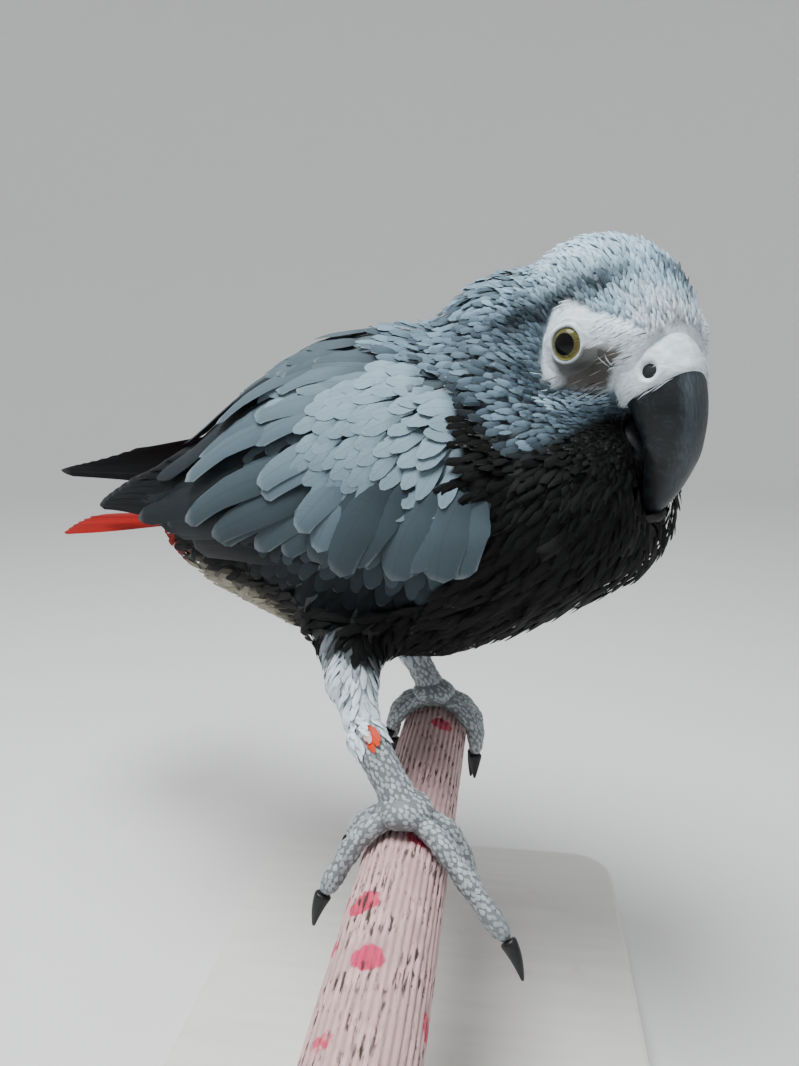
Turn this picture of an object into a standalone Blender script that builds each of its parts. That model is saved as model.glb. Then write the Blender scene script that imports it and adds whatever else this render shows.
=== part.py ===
"""A grey parrot standing on a short perch, on a plain display stand.

Metres, +Z up. The origin is the middle of the underside of the stand's base. The perch runs along Y.
Lengths are written as millimetres times MM. The bird's body has axes of its own: +X to its front,
+Y to its left, and the head has another set of them.
"""

import math

import bmesh
import bpy
from mathutils import Matrix, Vector

MM = 0.001
GAP = 0.3 * MM  # left between pieces that touch

# Stand and perch
BASE_LENGTH = 150 * MM
BASE_WIDTH = 130 * MM
BASE_THICK = 12 * MM
BASE_CORNER = 14 * MM
BASE_EDGE = 1.5 * MM
ROD_RADIUS = 3.5 * MM
ROD_PLACES = (-45 * MM, 45 * MM)  # along the perch
PERCH_RADIUS = 11 * MM
PERCH_AXIS = 73 * MM  # height above the floor
PERCH_NEAR = -113 * MM
PERCH_FAR = 62 * MM
PERCH_EDGE = 1.2 * MM
PERCH_TOP = PERCH_AXIS + PERCH_RADIUS

# The body's own axes: where its origin stands and which way it faces
BODY_PLACE = Vector((-6, 24, 0)) * MM
BODY_HEADING = math.radians(-28)

# The trunk's cross-sections: place along the body, height of the middle, half width, half height
TRUNK_SECTIONS = (
    (80, 162, 4, 5),
    (74, 161, 21, 18),
    (62, 160, 33, 25),
    (42, 159, 42, 36),
    (14, 159, 45, 48.5),
    (-18, 159, 44, 50),
    (-48, 155, 38, 42),
    (-76, 148, 27, 30),
    (-98, 142, 17, 17),
    (-112, 138, 5, 6),
)
TRUNK_SIDES = 28

# The head's own axes: its middle, how far it is turned to the right of +X, bent down and tilted
HEAD_PLACE = Vector((47, 0, 200.5)) * MM
HEAD_TURN = math.radians(-62)
HEAD_BEND = math.radians(27)
HEAD_TILT = math.radians(4)
HEAD_SIZE = 1.07

# Rounded masses of the head, in its own axes: middle and half sizes
HEAD_MASSES = (
    ((-3, 0, 4), (25, 20.5, 21.5)),  # skull
    ((13, 0, 8), (14.3, 14.4, 12.4)),  # forehead
    ((-4, 0, -8), (20, 18, 15)),  # cheeks and throat
)
EYE_PLACE = (8, 16.4, 5.2)
EYE_RADIUS = 5.3 * MM

# Rounded masses of the neck, from the head down into the body: middle in metres and radius
NECK_BALLS = (
    ((34, 9, 189), 24),
    ((25, 15, 196), 27),
    ((27, 12, 183), 30),
    ((18, 13, 174), 36),
    ((33, 2, 163), 28),
)

# Legs: balls down the feathered thigh, the ankle and the sole of each foot
THIGH_BALLS = {
    "right": (((-18, 2, 130), 19), ((-18, -8, 124), 13), ((-16, -19, 115), 9), ((-12, -27, 106), 7)),
    "left": (((2, 46, 128), 18), ((-3, 46, 121), 13), ((-8, 44, 112), 9), ((-8, 43, 105), 7)),
}
ANKLES = {"right": (-11, -28, 104), "left": (-8, 43, 103)}
SOLES = {"right": -36 * MM, "left": 40 * MM}  # place along the perch
TARSUS_RADIUS = 4.7 * MM
TOE_START = 7.5
TOE_STEPS = 7
TOE_RADIUS = 3.3 * MM
CLAW_RADIUS = 2.0 * MM
CLAW_STEPS = 4

# Each toe: which way over the perch, slant along it, how far round it grips, length, claw length
TOES = {
    "right": {
        "1": (-1, 0.30, 62, 17, 9),
        "2": (1, 0.12, 70, 24, 9),
        "3": (1, -0.62, 46, 31.5, 9.5),
        "4": (-1, -0.42, 60, 25.5, 9),
    },
    "left": {
        "1": (-1, -0.36, 90, 17, 9),
        "2": (1, -0.36, 105, 24, 9),
        "3": (1, 0.42, 100, 28, 10),
        "4": (-1, 0.42, 90, 25, 10),
    },
}

# Wings: place of the tip in the body's axes, and where the coverts and the secondaries end
WING_TIPS = {"right": (-154, -13, 141), "left": (-194, 7, 151)}
WING_FRONT = 47 * MM
WING_PARTS = (("coverts", 60, -34), ("secondaries", -34, -98), ("primaries", -98, -200))
WING_PROUD = 1.5 * MM
WING_THICK = 7 * MM
WING_TIP_THICK = 1.6 * MM
WING_EDGE_THICK = 2.2 * MM

# Tail fan
TAIL_ROOT = (-88, 143)
TAIL_TIP = (-168, 134)
TAIL_HALF_WIDTHS = (12, 24)
TAIL_THICK = 3.0 * MM


def collection(name):
    made = bpy.data.collections.new(name)
    bpy.context.scene.collection.children.link(made)
    return made


def material(name, colour, roughness=0.8, metallic=0.0):
    made = bpy.data.materials.new(name)
    made.use_nodes = True
    shader = made.node_tree.nodes["Principled BSDF"]
    shader.inputs["Base Color"].default_value = (*colour, 1)
    shader.inputs["Roughness"].default_value = roughness
    shader.inputs["Metallic"].default_value = metallic
    return made


def add(name, mesh, group, parent=None):
    """A new object. With a parent it is modelled in that empty's axes."""
    made = bpy.data.objects.new(name, mesh)
    group.objects.link(made)
    made.parent = parent
    return made


def mesh_from(bm, name):
    """Makes a mesh of a closed bmesh, with its faces pointing out."""
    bmesh.ops.recalc_face_normals(bm, faces=bm.faces)
    mesh = bpy.data.meshes.new(name)
    bm.to_mesh(mesh)
    bm.free()
    return mesh


def axes(name, place, turn, bend=0.0, tilt=0.0):
    """An empty that carries a set of axes, turned about Z, then bent down and tilted."""
    made = add(name, None, bpy.context.scene.collection)
    turned = Matrix.Rotation(turn, 4, "Z") @ Matrix.Rotation(bend, 4, "Y")
    made.matrix_world = Matrix.Translation(place) @ turned @ Matrix.Rotation(tilt, 4, "X")
    return made


def ellipsoid(name, middle, halves, group, parent=None, fineness=3):
    """A ball stretched to three half sizes, in millimetres, placed by its location."""
    bm = bmesh.new()
    bmesh.ops.create_icosphere(bm, subdivisions=fineness, radius=1)
    size = HEAD_SIZE if parent and parent.name == "head_axes" else 1.0
    bmesh.ops.scale(bm, verts=bm.verts, vec=Vector(halves) * MM * size)
    made = add(name, mesh_from(bm, name), group, parent)
    made.location = Vector(middle) * MM * size
    return made


def loft(name, rings, group, parent=None):
    """A closed skin over unlike rings of points, each with the same number of them."""
    bm = bmesh.new()
    loops = [[bm.verts.new(point) for point in ring] for ring in rings]
    count = len(loops[0])
    for lower, upper in zip(loops, loops[1:]):
        for i in range(count):
            j = (i + 1) % count
            bm.faces.new((lower[i], lower[j], upper[j], upper[i]))
    bm.faces.new(loops[0])
    bm.faces.new(loops[-1])
    return add(name, mesh_from(bm, name), group, parent)


def smooth_between(sections, place):
    """The sizes at a place, read from a smooth curve through sections that run towards the tail."""
    last = len(sections) - 1
    i = next((k for k in range(last) if place >= sections[k + 1][0]), last - 1)
    picked = [sections[min(max(k, 0), last)] for k in (i - 1, i, i + 1, i + 2)]
    t = (place - picked[1][0]) / (picked[2][0] - picked[1][0])
    found = []
    for a, b, c, d in zip(*(row[1:] for row in picked)):
        bend = 2 * a - 5 * b + 4 * c - d
        found.append(b + 0.5 * t * (c - a + t * (bend + t * (3 * (b - c) + d - a))))
    return found


def ring(along, middle, half_width, half_height, sides):
    """An upright oval across the body's axis, in metres of the body's axes."""
    points = []
    for k in range(sides):
        angle = 2 * math.pi * k / sides
        points.append(
            Vector((along, half_width * math.cos(angle), middle + half_height * math.sin(angle))) * MM
        )
    return points


def evaluated(obj, name):
    """A plain mesh of an object with its modifiers applied, in world space."""
    bpy.context.view_layer.update()
    graph = bpy.context.evaluated_depsgraph_get()
    mesh = bpy.data.meshes.new_from_object(obj.evaluated_get(graph))
    mesh.transform(obj.matrix_world)
    mesh.name = name
    return mesh


def modifier(obj, kind, **settings):
    made = obj.modifiers.new(kind.title(), kind)
    for key, value in settings.items():
        setattr(made, key, value)
    return made


def blended(name, pieces, voxel, rounds, share, group):
    """Joins closed pieces into one smooth closed body, with a share of the remeshed faces left."""
    bm = bmesh.new()
    for piece in pieces:
        mesh = evaluated(piece, "joined")
        bm.from_mesh(mesh)
        bpy.data.meshes.remove(mesh)
    made = add(name, mesh_from(bm, name), group)
    modifier(made, "REMESH", mode="VOXEL", voxel_size=voxel)
    modifier(made, "SMOOTH", factor=0.5, iterations=rounds)
    modifier(made, "DECIMATE", ratio=share)
    mesh = evaluated(made, name)
    bpy.data.objects.remove(made)
    for piece in pieces:
        bpy.data.objects.remove(piece)
    return add(name, mesh, group)


def grown(obj, by, group):
    """A copy of a closed object with its surface moved out by a small distance."""
    mesh = evaluated(obj, obj.name + "_grown")
    bm = bmesh.new()
    bm.from_mesh(mesh)
    bmesh.ops.remove_doubles(bm, verts=bm.verts, dist=0.01 * MM)
    bm.normal_update()
    for vert, normal in [(v, v.normal.copy()) for v in bm.verts]:
        vert.co += normal * by
    bm.to_mesh(mesh)
    bm.free()
    return add(obj.name + "_grown", mesh, group)


def cut(obj, cutter, operation="DIFFERENCE"):
    modifier(obj, "BOOLEAN", operation=operation, object=cutter, solver="EXACT")


def settle(obj):
    """Applies an object's modifiers and keeps its largest closed body, where it stands."""
    mesh = evaluated(obj, obj.name)
    bm = bmesh.new()
    bm.from_mesh(mesh)
    bmesh.ops.triangulate(bm, faces=bm.faces)
    bodies, seen = [], set()
    for start in bm.verts:
        if start in seen:
            continue
        body, todo = [], [start]
        seen.add(start)
        while todo:
            vert = todo.pop()
            body.append(vert)
            for edge in vert.link_edges:
                other = edge.other_vert(vert)
                if other not in seen:
                    seen.add(other)
                    todo.append(other)
        bodies.append(body)
    largest = max(bodies, key=len)
    crumbs = [vert for body in bodies if body is not largest for vert in body]
    bmesh.ops.delete(bm, geom=crumbs, context="VERTS")
    bm.to_mesh(mesh)
    bm.free()
    mesh.transform(obj.matrix_world.inverted())
    obj.modifiers.clear()
    obj.data = mesh
    return obj


def tube(name, points, radii, group):
    """A closed round tube through points in metres, with a radius at each."""
    curve = bpy.data.curves.new(name, "CURVE")
    curve.dimensions = "3D"
    curve.bevel_depth = MM
    curve.bevel_resolution = 2
    curve.use_fill_caps = True
    spline = curve.splines.new("POLY")
    spline.points.add(len(points) - 1)
    for knot, point, radius in zip(spline.points, points, radii):
        knot.co = (*point, 1)
        knot.radius = radius / MM
    path = add(name + "_path", curve, group)
    mesh = evaluated(path, name)
    bpy.data.objects.remove(path)
    bm = bmesh.new()
    bm.from_mesh(mesh)
    bpy.data.meshes.remove(mesh)
    bmesh.ops.remove_doubles(bm, verts=bm.verts, dist=0.01 * MM)
    return add(name, mesh_from(bm, name), group)


def finish(obj, look):
    """Gives a finished solid its material and flat or smooth faces, as its edges ask for."""
    obj.data.materials.clear()
    obj.data.materials.append(look)
    obj.data.shade_smooth()
    obj.data.set_sharp_from_angle(angle=math.radians(50))


def make_perch(parts):
    bpy.ops.mesh.primitive_cylinder_add(
        vertices=32,
        radius=PERCH_RADIUS,
        depth=PERCH_FAR - PERCH_NEAR,
        location=(0, (PERCH_FAR + PERCH_NEAR) / 2, PERCH_AXIS),
        rotation=(math.pi / 2, 0, 0),
    )
    perch = bpy.context.object
    perch.name = "perch"
    claim(perch, parts)
    modifier(perch, "BEVEL", width=PERCH_EDGE, segments=1, limit_method="ANGLE")
    return perch


def claim(obj, group):
    """Moves an object that an operator made into a collection."""
    for other in list(obj.users_collection):
        other.objects.unlink(obj)
    group.objects.link(obj)


def make_base(parts):
    """A flat plate with rounded corners and softened edges."""
    bm = bmesh.new()
    bmesh.ops.create_cube(bm, size=1)
    bmesh.ops.scale(bm, verts=bm.verts, vec=(BASE_WIDTH, BASE_LENGTH, BASE_THICK))
    base = add("stand_base", mesh_from(bm, "stand_base"), parts)
    base.location = (0, 0, BASE_THICK / 2)
    upright = [e for e in base.data.edges if abs(edge_way(base.data, e).z) > 0.9]
    weight = base.data.attributes.new("bevel_weight_edge", "FLOAT", "EDGE")
    for edge in upright:
        weight.data[edge.index].value = 1.0
    modifier(base, "BEVEL", width=BASE_CORNER, segments=4, limit_method="WEIGHT")
    modifier(base, "BEVEL", width=BASE_EDGE, segments=2, limit_method="ANGLE")
    return base


def edge_way(mesh, edge):
    a, b = (mesh.vertices[i].co for i in edge.vertices)
    return (b - a).normalized()


def make_rods(parts, cutters, perch):
    rods = []
    perch_room = grown(perch, GAP, cutters)
    for name, place in zip(("stand_rod_near", "stand_rod_far"), ROD_PLACES):
        bottom, top = BASE_THICK + GAP, PERCH_AXIS
        bpy.ops.mesh.primitive_cylinder_add(
            vertices=24,
            radius=ROD_RADIUS,
            depth=top - bottom,
            location=(0, place, (top + bottom) / 2),
        )
        rod = bpy.context.object
        rod.name = name
        claim(rod, parts)
        cut(rod, perch_room)
        rods.append(settle(rod))
    return rods


def make_flesh(cutters, body, head):
    """The body, neck, head and thighs as one smooth closed form."""
    first, last = TRUNK_SECTIONS[0][0], TRUNK_SECTIONS[-1][0]
    steps = 40
    rings = []
    for k in range(steps + 1):
        along = first + (last - first) * k / steps
        rings.append(ring(along, *smooth_between(TRUNK_SECTIONS, along), TRUNK_SIDES))
    pieces = [loft("trunk_form", rings, cutters, body)]
    for middle, halves in HEAD_MASSES:
        pieces.append(ellipsoid("head_form", middle, halves, cutters, head))
    balls = [*NECK_BALLS, *THIGH_BALLS["right"], *THIGH_BALLS["left"]]
    for middle, radius in balls:
        pieces.append(ellipsoid("ball_form", middle, (radius,) * 3, cutters))
    return blended("flesh", pieces, 2.2 * MM, 6, 0.023, cutters)


def wing_sheet(name, side, inset, group, body):
    """One wing as an open curved sheet in the body's axes, inset into the body from its outside."""
    sign = -1 if side == "right" else 1
    tip_along, tip_side, tip_height = WING_TIPS[side]
    front = WING_FRONT / MM
    steps, across = 12, 6
    bm = bmesh.new()
    rows = []
    for i in range(steps + 1):
        share = i / steps
        along = front + (tip_along - front) * share
        body_share = max(0.0, min(1.0, (along + 100) / 62))
        body_share = body_share * body_share * (3 - 2 * body_share)
        middle, half_width, half_height = smooth_between(TRUNK_SECTIONS, max(along, -96))
        back = max(0.0, (-38 - along) / (-38 - tip_along))
        free_middle = 156 + (tip_height - 156) * back
        free_width = 40 + (abs(tip_side) - 40) * back ** 0.8
        free_height = 40 + (9 - 40) * back ** 0.9
        middle = body_share * middle + (1 - body_share) * free_middle
        half_width = body_share * half_width + (1 - body_share) * free_width
        half_height = body_share * half_height + (1 - body_share) * free_height
        low = math.radians(-34 + 10 * share) * rounded_end(share, 0.10, 0.55)
        high = math.radians(62 - 20 * share) * rounded_end(share, 0.16, 0.60)
        row = []
        for j in range(across + 1):
            angle = low + (high - low) * j / across
            reach = WING_PROUD / MM - inset / MM
            row.append(
                bm.verts.new(
                    Vector(
                        (
                            along,
                            sign * (half_width + reach) * math.cos(angle),
                            middle + (half_height + reach) * math.sin(angle),
                        )
                    )
                    * MM
                )
            )
        rows.append(row)
    for lower, upper in zip(rows, rows[1:]):
        for j in range(across):
            corners = (lower[j], lower[j + 1], upper[j + 1], upper[j])
            bm.faces.new(corners if sign < 0 else corners[::-1])
    mesh = bpy.data.meshes.new(name)
    bm.to_mesh(mesh)
    bm.free()
    shares = [(i / steps, j / across) for i in range(steps + 1) for j in range(across + 1)]
    return add(name, mesh, group, body), shares


def rounded_end(share, front, back):
    """1 over the middle of a wing, falling to a little at its two ends."""
    if share < front:
        return 0.35 + 0.65 * math.sqrt(1 - (1 - share / front) ** 2)
    if share > back:
        rest = (share - back) / (1 - back)
        return 0.10 + 0.90 * (1 - rest ** 1.6)
    return 1.0


def make_wing(side, parts, cutters, body):
    """One wing in its pieces, and the two cutters that clear its place on the body."""
    sheet, shares = wing_sheet("wing_" + side, side, 0, cutters, body)
    group = sheet.vertex_groups.new(name="thickness")
    for index, (along, across) in enumerate(shares):
        thin = min(1.0, max(0.0, (along - 0.25) / 0.6))
        edge = min(1.0, 9 * along, 3.4 * across, 3.4 * (1 - across))
        full = 1 - thin * (1 - WING_TIP_THICK / WING_THICK)
        least = WING_EDGE_THICK / WING_THICK
        group.add([index], min(full, least + (1 - least) * edge), "REPLACE")
    modifier(sheet, "SOLIDIFY", thickness=WING_THICK, offset=-1, vertex_group="thickness")
    whole = settle(sheet)
    shell, _ = wing_sheet("shell_" + side, side, 1.0 * MM, cutters, body)
    modifier(shell, "SOLIDIFY", thickness=30 * MM, offset=1)
    made = []
    for part, high, low in WING_PARTS:
        piece = add(f"wing_{side}_{part}", whole.data.copy(), parts, body)
        keep_between(piece, high * MM - GAP / 2, low * MM + GAP / 2)
        made.append(piece)
    return made, whole, (grown(whole, GAP, cutters), settle(shell))


def keep_between(obj, high, low):
    """Cuts an object down to what lies between two planes across the body's axis."""
    bm = bmesh.new()
    bm.from_mesh(obj.data)
    for place, way in ((high, 1), (low, -1)):
        found = bmesh.ops.bisect_plane(
            bm,
            geom=[*bm.verts, *bm.edges, *bm.faces],
            plane_co=(place, 0, 0),
            plane_no=(way, 0, 0),
            clear_outer=True,
        )
        rim = [g for g in found["geom_cut"] if isinstance(g, bmesh.types.BMEdge)]
        if rim:
            bmesh.ops.holes_fill(bm, edges=rim)
    bmesh.ops.recalc_face_normals(bm, faces=bm.faces)
    bm.to_mesh(obj.data)
    bm.free()


def make_tail(parts, body):
    """The fan of the tail, a little arched across, thinner towards its tip."""
    steps, across = 5, 8
    rings = []
    for i in range(steps + 1):
        share = i / steps
        along = TAIL_ROOT[0] + (TAIL_TIP[0] - TAIL_ROOT[0]) * share
        middle = TAIL_ROOT[1] + (TAIL_TIP[1] - TAIL_ROOT[1]) * share
        half = TAIL_HALF_WIDTHS[0] + (TAIL_HALF_WIDTHS[1] - TAIL_HALF_WIDTHS[0]) * share ** 0.7
        thick = TAIL_THICK / MM * (1 - 0.5 * share)
        top, under = [], []
        for j in range(across + 1):
            out = 2 * j / across - 1
            rounding = 9 * out * out * share ** 4
            point = Vector((along + rounding, half * out, middle - 4 * out * out))
            top.append(point * MM)
            under.append((point - Vector((0, 0, thick))) * MM)
        rings.append(top + under[::-1])
    return loft("tail", rings, parts, body)


BILL_PIVOT = (17, -7)
# Upper bill: angle round the pivot, outer and inner reach, half width
UPPER_BILL = (
    (98, 20.5, 3, 8.4),
    (80, 20.8, 2.5, 9.0),
    (60, 20.8, 2.5, 9.2),
    (40, 20.8, 3, 8.9),
    (20, 20.9, 5, 8.2),
    (0, 21.4, 8, 7.2),
    (-20, 22.3, 12, 5.8),
    (-38, 23.8, 16.5, 4.2),
    (-52, 25.4, 21, 2.6),
    (-62, 26.8, 25, 1.0),
)
# Lower bill: place forward, top, bottom, half width
LOWER_BILL = (
    (7, -8, -19, 7.6),
    (12, -8, -22.5, 8.0),
    (17, -8.5, -25, 7.6),
    (22, -9.5, -26, 6.6),
    (26.5, -11.5, -24.5, 5.0),
    (29, -14.5, -21.5, 2.6),
)
CERE_ANGLES = (104, 84, 66, 50)
BILL_SIDES = 12


def bill_ring(angle, outer, inner, half_width, ridge=0.75):
    """An oval across the upper bill, narrower at its ridge, in the head's axes."""
    a = math.radians(angle)
    way = Vector((math.cos(a), 0, math.sin(a)))
    start = Vector((BILL_PIVOT[0], 0, BILL_PIVOT[1]))
    middle, half = (outer + inner) / 2, (outer - inner) / 2
    points = []
    for k in range(BILL_SIDES):
        turn = 2 * math.pi * k / BILL_SIDES
        out = math.cos(turn)
        width = half_width * math.sin(turn) * (1 - (1 - ridge) * max(out, 0))
        points.append((start + way * (middle + half * out) + Vector((0, width, 0))) * MM * HEAD_SIZE)
    return points


def make_bill(parts, cutters, head):
    """The two halves of the bill and the cere over its root, and the cutters that clear them."""
    upper = loft("bill_upper", [bill_ring(*row) for row in UPPER_BILL], parts, head)
    rings = []
    for along, top, bottom, half_width in LOWER_BILL:
        middle, half = (top + bottom) / 2, (top - bottom) / 2
        rings.append(
            [
                Vector((along, half_width * math.cos(a), middle + half * math.sin(a))) * MM * HEAD_SIZE
                for a in (2 * math.pi * k / BILL_SIDES for k in range(BILL_SIDES))
            ]
        )
    lower = loft("bill_lower", rings, parts, head)
    cere_rings = []
    for angle in CERE_ANGLES:
        outer, inner, half_width = smooth_between([(row[0], *row[1:]) for row in UPPER_BILL], min(angle, 97))
        swell = 1.1 if angle > CERE_ANGLES[-1] else 0.6
        cere_rings.append(bill_ring(angle, outer + swell, inner - 1.3, half_width + swell))
    cere = loft("cere", cere_rings, parts, head)
    room = [grown(piece, GAP, cutters) for piece in (cere, upper, lower)]
    cut(lower, room[0])
    cut(lower, room[1])
    settle(lower)
    cut(cere, room[1])
    settle(cere)
    return (upper, lower, cere), room


def make_eyes(parts, head):
    made = []
    for name, sign in (("eye_right", -1), ("eye_left", 1)):
        x, y, z = EYE_PLACE
        radius = EYE_RADIUS / MM
        inset = (x, sign * (y - radius * 0.5), z)
        made.append(ellipsoid(name, inset, (radius,) * 3, parts, head, 2))
    return made


def toe_points(side, way, slant, grip, length):
    """Points from the sole over the top of the perch and on, straight, in metres."""
    reach = PERCH_RADIUS + TOE_RADIUS + GAP
    points = []
    grip = math.radians(grip)
    curve = reach * grip
    for k in range(TOE_STEPS + 1):
        walked = (TOE_START + (length - TOE_START) * k / TOE_STEPS) * MM
        angle = min(walked / reach, grip)
        straight = max(0.0, walked - curve)
        x = reach * math.sin(angle) + straight * math.cos(angle)
        z = reach * math.cos(angle) - straight * math.sin(angle)
        points.append(Vector((way * x, SOLES[side] + slant * x, PERCH_AXIS + z)))
    return points


def claw_points(toe, length):
    """A claw that bends down and in from the end of its toe."""
    ahead = (toe[-1] - toe[-2]).normalized()
    down = Vector((0, 0, -1))
    start = toe[-1] + ahead * (TOE_RADIUS * 0.75)
    points = []
    place, way = start.copy(), ahead.copy()
    for k in range(CLAW_STEPS + 1):
        points.append(place.copy())
        way = (way + down * 0.3).normalized()
        place += way * (length * MM / CLAW_STEPS)
    return points


def make_leg(side, parts, cutters):
    ankle = Vector(ANKLES[side]) * MM
    sole = Vector((0, SOLES[side], PERCH_TOP + TARSUS_RADIUS + GAP))
    shin = [ankle + (sole - ankle) * k / 5 for k in range(6)]
    widths = [TARSUS_RADIUS * (1.12 - 0.12 * math.sin(math.pi * k / 5)) for k in range(6)]
    bone = tube("shin_form", shin, widths, cutters)
    pad = ellipsoid("pad_form", sole / MM, (7.4, 7, 4.8), cutters)
    tarsus = blended("tarsus_" + side, [bone, pad], 0.8 * MM, 3, 0.04, parts)
    tarsus_room = grown(tarsus, GAP, cutters)
    made = [tarsus]
    for number, (way, slant, grip, length, claw) in TOES[side].items():
        route = toe_points(side, way, slant, grip, length)
        radii = []
        for k in range(TOE_STEPS + 1):
            share = k / TOE_STEPS
            swell = 0.72 + 0.28 * min(1, 4 * share) - 0.2 * share
            radii.append(TOE_RADIUS * (swell + 0.06 * math.cos(2.6 * k)))
        toe = tube(f"toe_{side}_{number}", route, radii, parts)
        cut(toe, tarsus_room)
        settle(toe)
        sharp = [CLAW_RADIUS * (1 - 0.8 * (k / CLAW_STEPS) ** 1.3) for k in range(CLAW_STEPS + 1)]
        nail = tube(f"claw_{side}_{number}", claw_points(route, claw), sharp, parts)
        cut(nail, grown(toe, GAP, cutters))
        settle(nail)
        made += [toe, nail]
    return made


def main():
    for obj in list(bpy.data.objects):
        bpy.data.objects.remove(obj)
    parts = collection("grey_parrot")
    cutters = collection("cutters")

    grey = material("grey_plumage", (0.23, 0.26, 0.29))
    slate = material("flight_feathers", (0.06, 0.07, 0.08))
    red = material("tail_red", (0.55, 0.03, 0.02))
    pale = material("thigh_plumage", (0.6, 0.64, 0.68))
    horn = material("horn", (0.02, 0.022, 0.028), 0.35)
    skin = material("foot_skin", (0.35, 0.37, 0.38), 0.7)
    white = material("cere_skin", (0.72, 0.74, 0.75), 0.6)
    eye = material("eye", (0.45, 0.42, 0.2), 0.1)
    wood = material("painted_wood", (0.62, 0.36, 0.36), 0.7)
    paint = material("stand_paint", (0.7, 0.7, 0.68), 0.5)
    steel = material("rod_steel", (0.6, 0.6, 0.62), 0.3, 1.0)

    perch = make_perch(parts)
    finish(perch, wood)
    finish(make_base(parts), paint)
    for rod in make_rods(parts, cutters, perch):
        finish(rod, steel)

    body = axes("body_axes", BODY_PLACE, BODY_HEADING)
    head = axes("head_axes", HEAD_PLACE, HEAD_TURN, HEAD_BEND, HEAD_TILT)
    flesh = make_flesh(cutters, body, head)
    rooms = []
    wings = {}
    for side in ("right", "left"):
        pieces, whole, wing_rooms = make_wing(side, parts, cutters, body)
        wings[side] = whole
        rooms += wing_rooms
        for piece in pieces:
            finish(piece, slate if piece.name.endswith("primaries") else grey)
    (upper, lower, cere), bill_rooms = make_bill(parts, cutters, head)
    finish(upper, horn)
    finish(lower, horn)
    finish(cere, white)
    eyes = make_eyes(parts, head)
    for ball in eyes:
        finish(ball, eye)

    for room in (*rooms, *bill_rooms, *(grown(ball, GAP, cutters) for ball in eyes)):
        cut(flesh, room)
    settle(flesh)

    regions = [
        ("head", ellipsoid("head_region", (0, 0, 2), (31.8, 25.2, 23.8), cutters, head)),
        ("neck", ellipsoid("neck_region", (26, 10, 184), (44, 44, 38), cutters)),
        ("thigh_right", ellipsoid("thigh_region", (-16, -16, 114), (17, 19, 15), cutters, None, 2)),
        ("thigh_left", ellipsoid("thigh_region", (-6, 44, 112), (15, 15, 13), cutters, None, 2)),
        ("rump", ellipsoid("rump_region", (-100, 0, 142), (44, 40, 48), cutters, body)),
    ]
    left = flesh
    for name, region in regions:
        piece = add(name, left.data.copy(), parts)
        cut(piece, region, "INTERSECT")
        cut(left, grown(region, GAP, cutters))
        settle(left)
        settle(piece)
        finish(piece, pale if name.startswith("thigh") else grey)
    trunk = add("trunk", left.data.copy(), parts)
    finish(trunk, grey)

    tail = make_tail(parts, body)
    for name in ("rump", "trunk"):
        cut(tail, grown(bpy.data.objects[name], GAP, cutters))
    for whole in wings.values():
        cut(tail, grown(whole, GAP, cutters))
    settle(tail)
    finish(tail, red)

    for side in ("right", "left"):
        for piece in make_leg(side, parts, cutters):
            if piece.name.startswith("tarsus"):
                cut(bpy.data.objects["thigh_" + side], grown(piece, GAP, cutters))
                settle(bpy.data.objects["thigh_" + side])
            finish(piece, horn if piece.name.startswith("claw") else skin)

    for obj in cutters.objects:
        obj.hide_render = True
        obj.display_type = "WIRE"


main()
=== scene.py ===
"""The looks of a grey parrot on a short perch: skin, plumage, bill, eyes, feet, perch, stand and studio.

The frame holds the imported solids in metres, +Z up. Sizes called mm are millimetres of the body's axes
(+X to the bird's front, +Y to its left) or of the head's axes (+X to its face, +Y to its left).
"""

from math import acos, atan2, cos, exp, hypot, pi, radians, sin, sqrt

import bmesh
import bpy
import numpy as np
from bpy.props import FloatProperty, FloatVectorProperty, IntProperty, PointerProperty
from bpy.types import Operator, Panel, PropertyGroup
from mathutils import Matrix, Vector
from mathutils.bvhtree import BVHTree
from mathutils.kdtree import KDTree


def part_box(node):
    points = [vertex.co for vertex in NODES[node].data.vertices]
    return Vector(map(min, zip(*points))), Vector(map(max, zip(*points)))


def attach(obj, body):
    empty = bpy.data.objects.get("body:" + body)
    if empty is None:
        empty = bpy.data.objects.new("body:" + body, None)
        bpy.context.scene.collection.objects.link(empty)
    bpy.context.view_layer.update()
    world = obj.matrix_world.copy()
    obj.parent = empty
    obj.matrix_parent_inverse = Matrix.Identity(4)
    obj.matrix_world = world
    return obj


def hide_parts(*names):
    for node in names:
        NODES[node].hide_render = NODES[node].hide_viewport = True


bl_info = {
    "name": "Grey Parrot Figure",
    "version": (1, 0, 0),
    "blender": (4, 5, 0),
    "location": "3D View > Sidebar > Parrot",
    "description": "Builds the skin, plumage, bill, eyes, feet, perch and stand of a grey parrot figure",
    "category": "Add Mesh",
}

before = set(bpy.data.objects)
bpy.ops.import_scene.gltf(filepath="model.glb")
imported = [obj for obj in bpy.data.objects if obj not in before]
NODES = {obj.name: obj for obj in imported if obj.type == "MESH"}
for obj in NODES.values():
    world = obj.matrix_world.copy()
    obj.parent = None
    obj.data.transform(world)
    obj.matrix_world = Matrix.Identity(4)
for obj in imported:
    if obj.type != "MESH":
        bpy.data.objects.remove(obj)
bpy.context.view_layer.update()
MM = 0.001

# The body's axes and the head's axes, both counted in millimetres
BODY = Matrix.Translation((-0.006, 0.024, 0)) @ Matrix.Rotation(radians(-28), 4, "Z") @ Matrix.Scale(MM, 4)
HEAD_TURNED = (
    Matrix.Rotation(radians(-62), 4, "Z")
    @ Matrix.Rotation(radians(27), 4, "Y")
    @ Matrix.Rotation(radians(4), 4, "X")
)
HEAD = Matrix.Translation((0.047, 0, 0.2005)) @ HEAD_TURNED @ Matrix.Scale(1.07 * MM, 4)

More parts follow.
